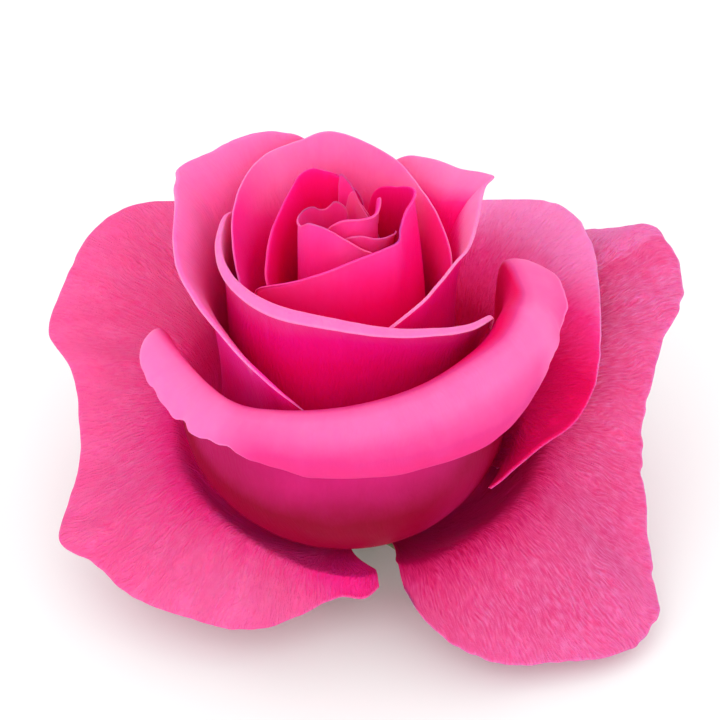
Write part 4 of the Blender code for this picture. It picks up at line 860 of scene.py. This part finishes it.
def calyx():
    edge = CLAW_RADIUS[1] + CONE_RIM
    radii = (CONE_TOP, (CONE_TOP + edge) / 2, edge)
    cone = [(r, cone_height(r)) for r in radii]
    line = smooth_profile(cone + list(HIP_PROFILE), HIP_STEPS)
    dress(turned("fine_hip", line, HIP_SIDES, "hip", HIP_RIPPLE), "hip")
    bark = [(STEM_RADIUS - TOP_BEVEL, STEM_TOP), (STEM_RADIUS, STEM_TOP - TOP_BEVEL),
            (STEM_RADIUS, (STEM_TOP + FLOOR) / 2), (STEM_RADIUS, FLOOR + CUT_BEVEL),
            (STEM_RADIUS - CUT_BEVEL, FLOOR)] + [(r, FLOOR) for r in CUT_RINGS]
    dress(turned("fine_stem_stub", bark, STUB_SIDES, "stem"), "stem_stub")


def sepal_sheet(number, azimuth, reach):
    """Middle surface, normals and thickness of a pointed blade with a midrib and teeth."""
    start, tip = np.array([SEPAL_BASE]), np.array([[reach, FLOOR + SEPAL_THICKNESS / 2]])
    leave, arrive = SEPAL_HANDLES
    line = np.vstack([start, bezier(start, start + leave, tip - arrive, tip, SEPAL_STEPS)[0]])
    share = np.arange(SEPAL_STEPS + 1) / SEPAL_STEPS
    least, swell = SEPAL_SWELL
    half = SEPAL_WIDTH / 2 * (1 - share ** SEPAL_TAPER) * (least + swell * share) + SEPAL_POINT
    height, pitch, first, full, fade, last = TEETH
    toothed = smooth(share, first, full) * (1 - smooth(share, fade, last))
    teeth = 1 + height * np.sin(share * pitch + number) * toothed
    a = radians(azimuth)
    out, side = np.array([cos(a), sin(a), 0]), np.array([-sin(a), cos(a), 0])
    lane = np.linspace(-1, 1, SEPAL_LANES + 1)[:, None]
    radius = line[:, 0]
    grid = radius[None, :, None] * out + (half * teeth * lane)[:, :, None] * side
    grid[:, :, 2] += line[:, 1] - SEPAL_SAG * half * lane ** 2 * (1 - radius / reach)
    height, width = MIDRIB
    rib = height * np.exp(-(lane / width) ** 2) * (1 - share)
    middle, less, tapered = SEPAL_BLADE
    thick = (middle - less * np.abs(lane) ** 2) * (1 - tapered * share)
    up = surface_normals(grid)
    if up[:, :, 2].mean() < 0:
        grid, thick, rib = grid[::-1].copy(), thick[::-1], rib[::-1]
        up = surface_normals(grid)
    grid[:, :, 2] -= rib
    grid[:, :, 2] += np.maximum(0.0, FLOOR + thick / 2 + SEPAL_CLEAR - grid[:, :, 2])
    return grid, up, thick


def sepals():
    """Five blades with a felted pale upper face."""
    skins = (plant_skin("sepal_upper"), plant_skin("sepal_lower"))
    for number, (azimuth, reach) in enumerate(SEPALS, 1):
        sheet = sepal_sheet(number, azimuth, reach)
        piece = sheet_mesh("fine_sepal_%d" % number, *sheet, skins, {})
        dress(piece, "sepal_%d" % number)


def stamens(base):
    """Bowed filaments with anthers, and the ring that they grow from."""
    radius, half_width, half_height = STAMEN_RING
    foot = base + half_height
    points, faces = [], []
    for n in range(STAMEN_COUNT):
        a = 2 * pi * n / STAMEN_COUNT
        height = STAMEN_HEIGHT * (1.0 + UNEVEN[0] * cos(UNEVEN[1] * n))
        faces += closed_faces(len(points), len(STAMEN_PROFILE), STAMEN_SIDES)
        for width, share in STAMEN_PROFILE:
            reach = STAMEN_RADIUS + STAMEN_LEAN * share + STAMEN_BOW * sin(3 * share + n)
            for s in range(STAMEN_SIDES):
                b = 2 * pi * s / STAMEN_SIDES
                points.append((reach * cos(a) + width * cos(b),
                               reach * sin(a) + width * sin(b), foot + share * height))
    around, sides = RING_SIDES
    faces += tube_faces(len(points), around, sides, True)
    for s in range(around):
        a = 2 * pi * s / around
        for k in range(sides):
            b = 2 * pi * k / sides
            r = radius + half_width * cos(b)
            points.append((r * cos(a), r * sin(a), foot + half_height * sin(b)))
    dress(add_mesh("fine_stamens", points, faces, (plant_skin("anther"),)), "stamens")


def styles(base):
    """The joined styles, with their stigmas as a knob."""
    profile = [(STYLE_TIP, base + STYLE_HEIGHT)]
    profile += [(r * STYLE_RADIUS, base + share * STYLE_HEIGHT) for r, share in STYLE_PROFILE]
    line = smooth_profile(profile, STYLE_STEPS)
    dress(turned("fine_styles", line, STYLE_SIDES, "style", STYLE_RIPPLE), "styles")


# ---- surroundings ----
VIEW_ELEVATION = radians(38)
VIEW_TARGET = (0.3, 0, 30.5)
VIEW_DISTANCE = 500
LENS = 150
SENSOR = 36
NEAR_CLIP = 0.01
FLOOR_REACH = 1.5
FLOOR_DROP = 0.00005  # of the studio floor below the bloom's foot
FLOOR_WHITE = (0.96, 0.96, 0.96, 1)
FLOOR_ROUGHNESS = 0.9
SKY = 1.1  # strength of the soft light from overhead
HORIZON = 0.85  # and its share at the horizon
ZENITH_FROM = 0.75  # height, as a sine, from which the sky has its full strength
LAMPS = (("key", (-0.12, -0.68, 0.48), 3, 0.9),)


def stand_on_floor():
    mesh = bpy.data.meshes.new("studio_floor")
    r = FLOOR_REACH
    mesh.from_pydata([(-r, -r, 0), (r, -r, 0), (r, r, 0), (-r, r, 0)], [], [(0, 1, 2, 3)])
    mesh.materials.append(new_skin("studio_floor", FLOOR_ROUGHNESS, {"Base Color": FLOOR_WHITE})[0])
    floor = place("studio_floor", mesh)
    floor.location.z = CAD_BOX[0][2] - FLOOR_DROP


def light_studio():
    world = bpy.data.worlds.new("studio")
    world.use_nodes = True
    tree = world.node_tree
    aim = node(tree, "TexCoord")
    split = node(tree, "SeparateXYZ")
    tree.links.new(aim.outputs["Generated"], split.inputs["Vector"])
    sky = ramp_node(tree, split.outputs["Z"], (0.0, ZENITH_FROM), ((HORIZON,) * 3, (1.0,) * 3))
    tree.links.new(sky, fill(tree.nodes["Background"], {"Strength": SKY}).inputs["Color"])
    bpy.context.scene.world = world
    for name, spot, power, size in LAMPS:
        light = bpy.data.lights.new(name, "AREA")
        light.energy = power
        light.size = size
        lamp = place(name, light)
        lamp.location = spot
        lamp.rotation_euler = Vector(spot).to_track_quat("Z", "Y").to_euler()


def set_camera():
    camera = bpy.data.cameras.new("camera")
    camera.lens = LENS
    camera.sensor_width = SENSOR
    camera.clip_start = NEAR_CLIP
    eye = place("camera", camera)
    target = Vector(ORIGIN) + Vector(VIEW_TARGET) * MM
    away = Vector((0.0, -cos(VIEW_ELEVATION), sin(VIEW_ELEVATION)))
    eye.location = target + away * VIEW_DISTANCE * MM
    eye.rotation_euler = away.to_track_quat("Z", "Y").to_euler()
    bpy.context.scene.camera = eye
    bpy.context.scene.view_settings.view_transform = "Standard"


petals()
calyx()
sepals()
core_base = cone_height(CONE_TOP) + INNER_GAP
stamens(core_base)
styles(core_base)
stand_on_floor()
light_studio()
set_camera()
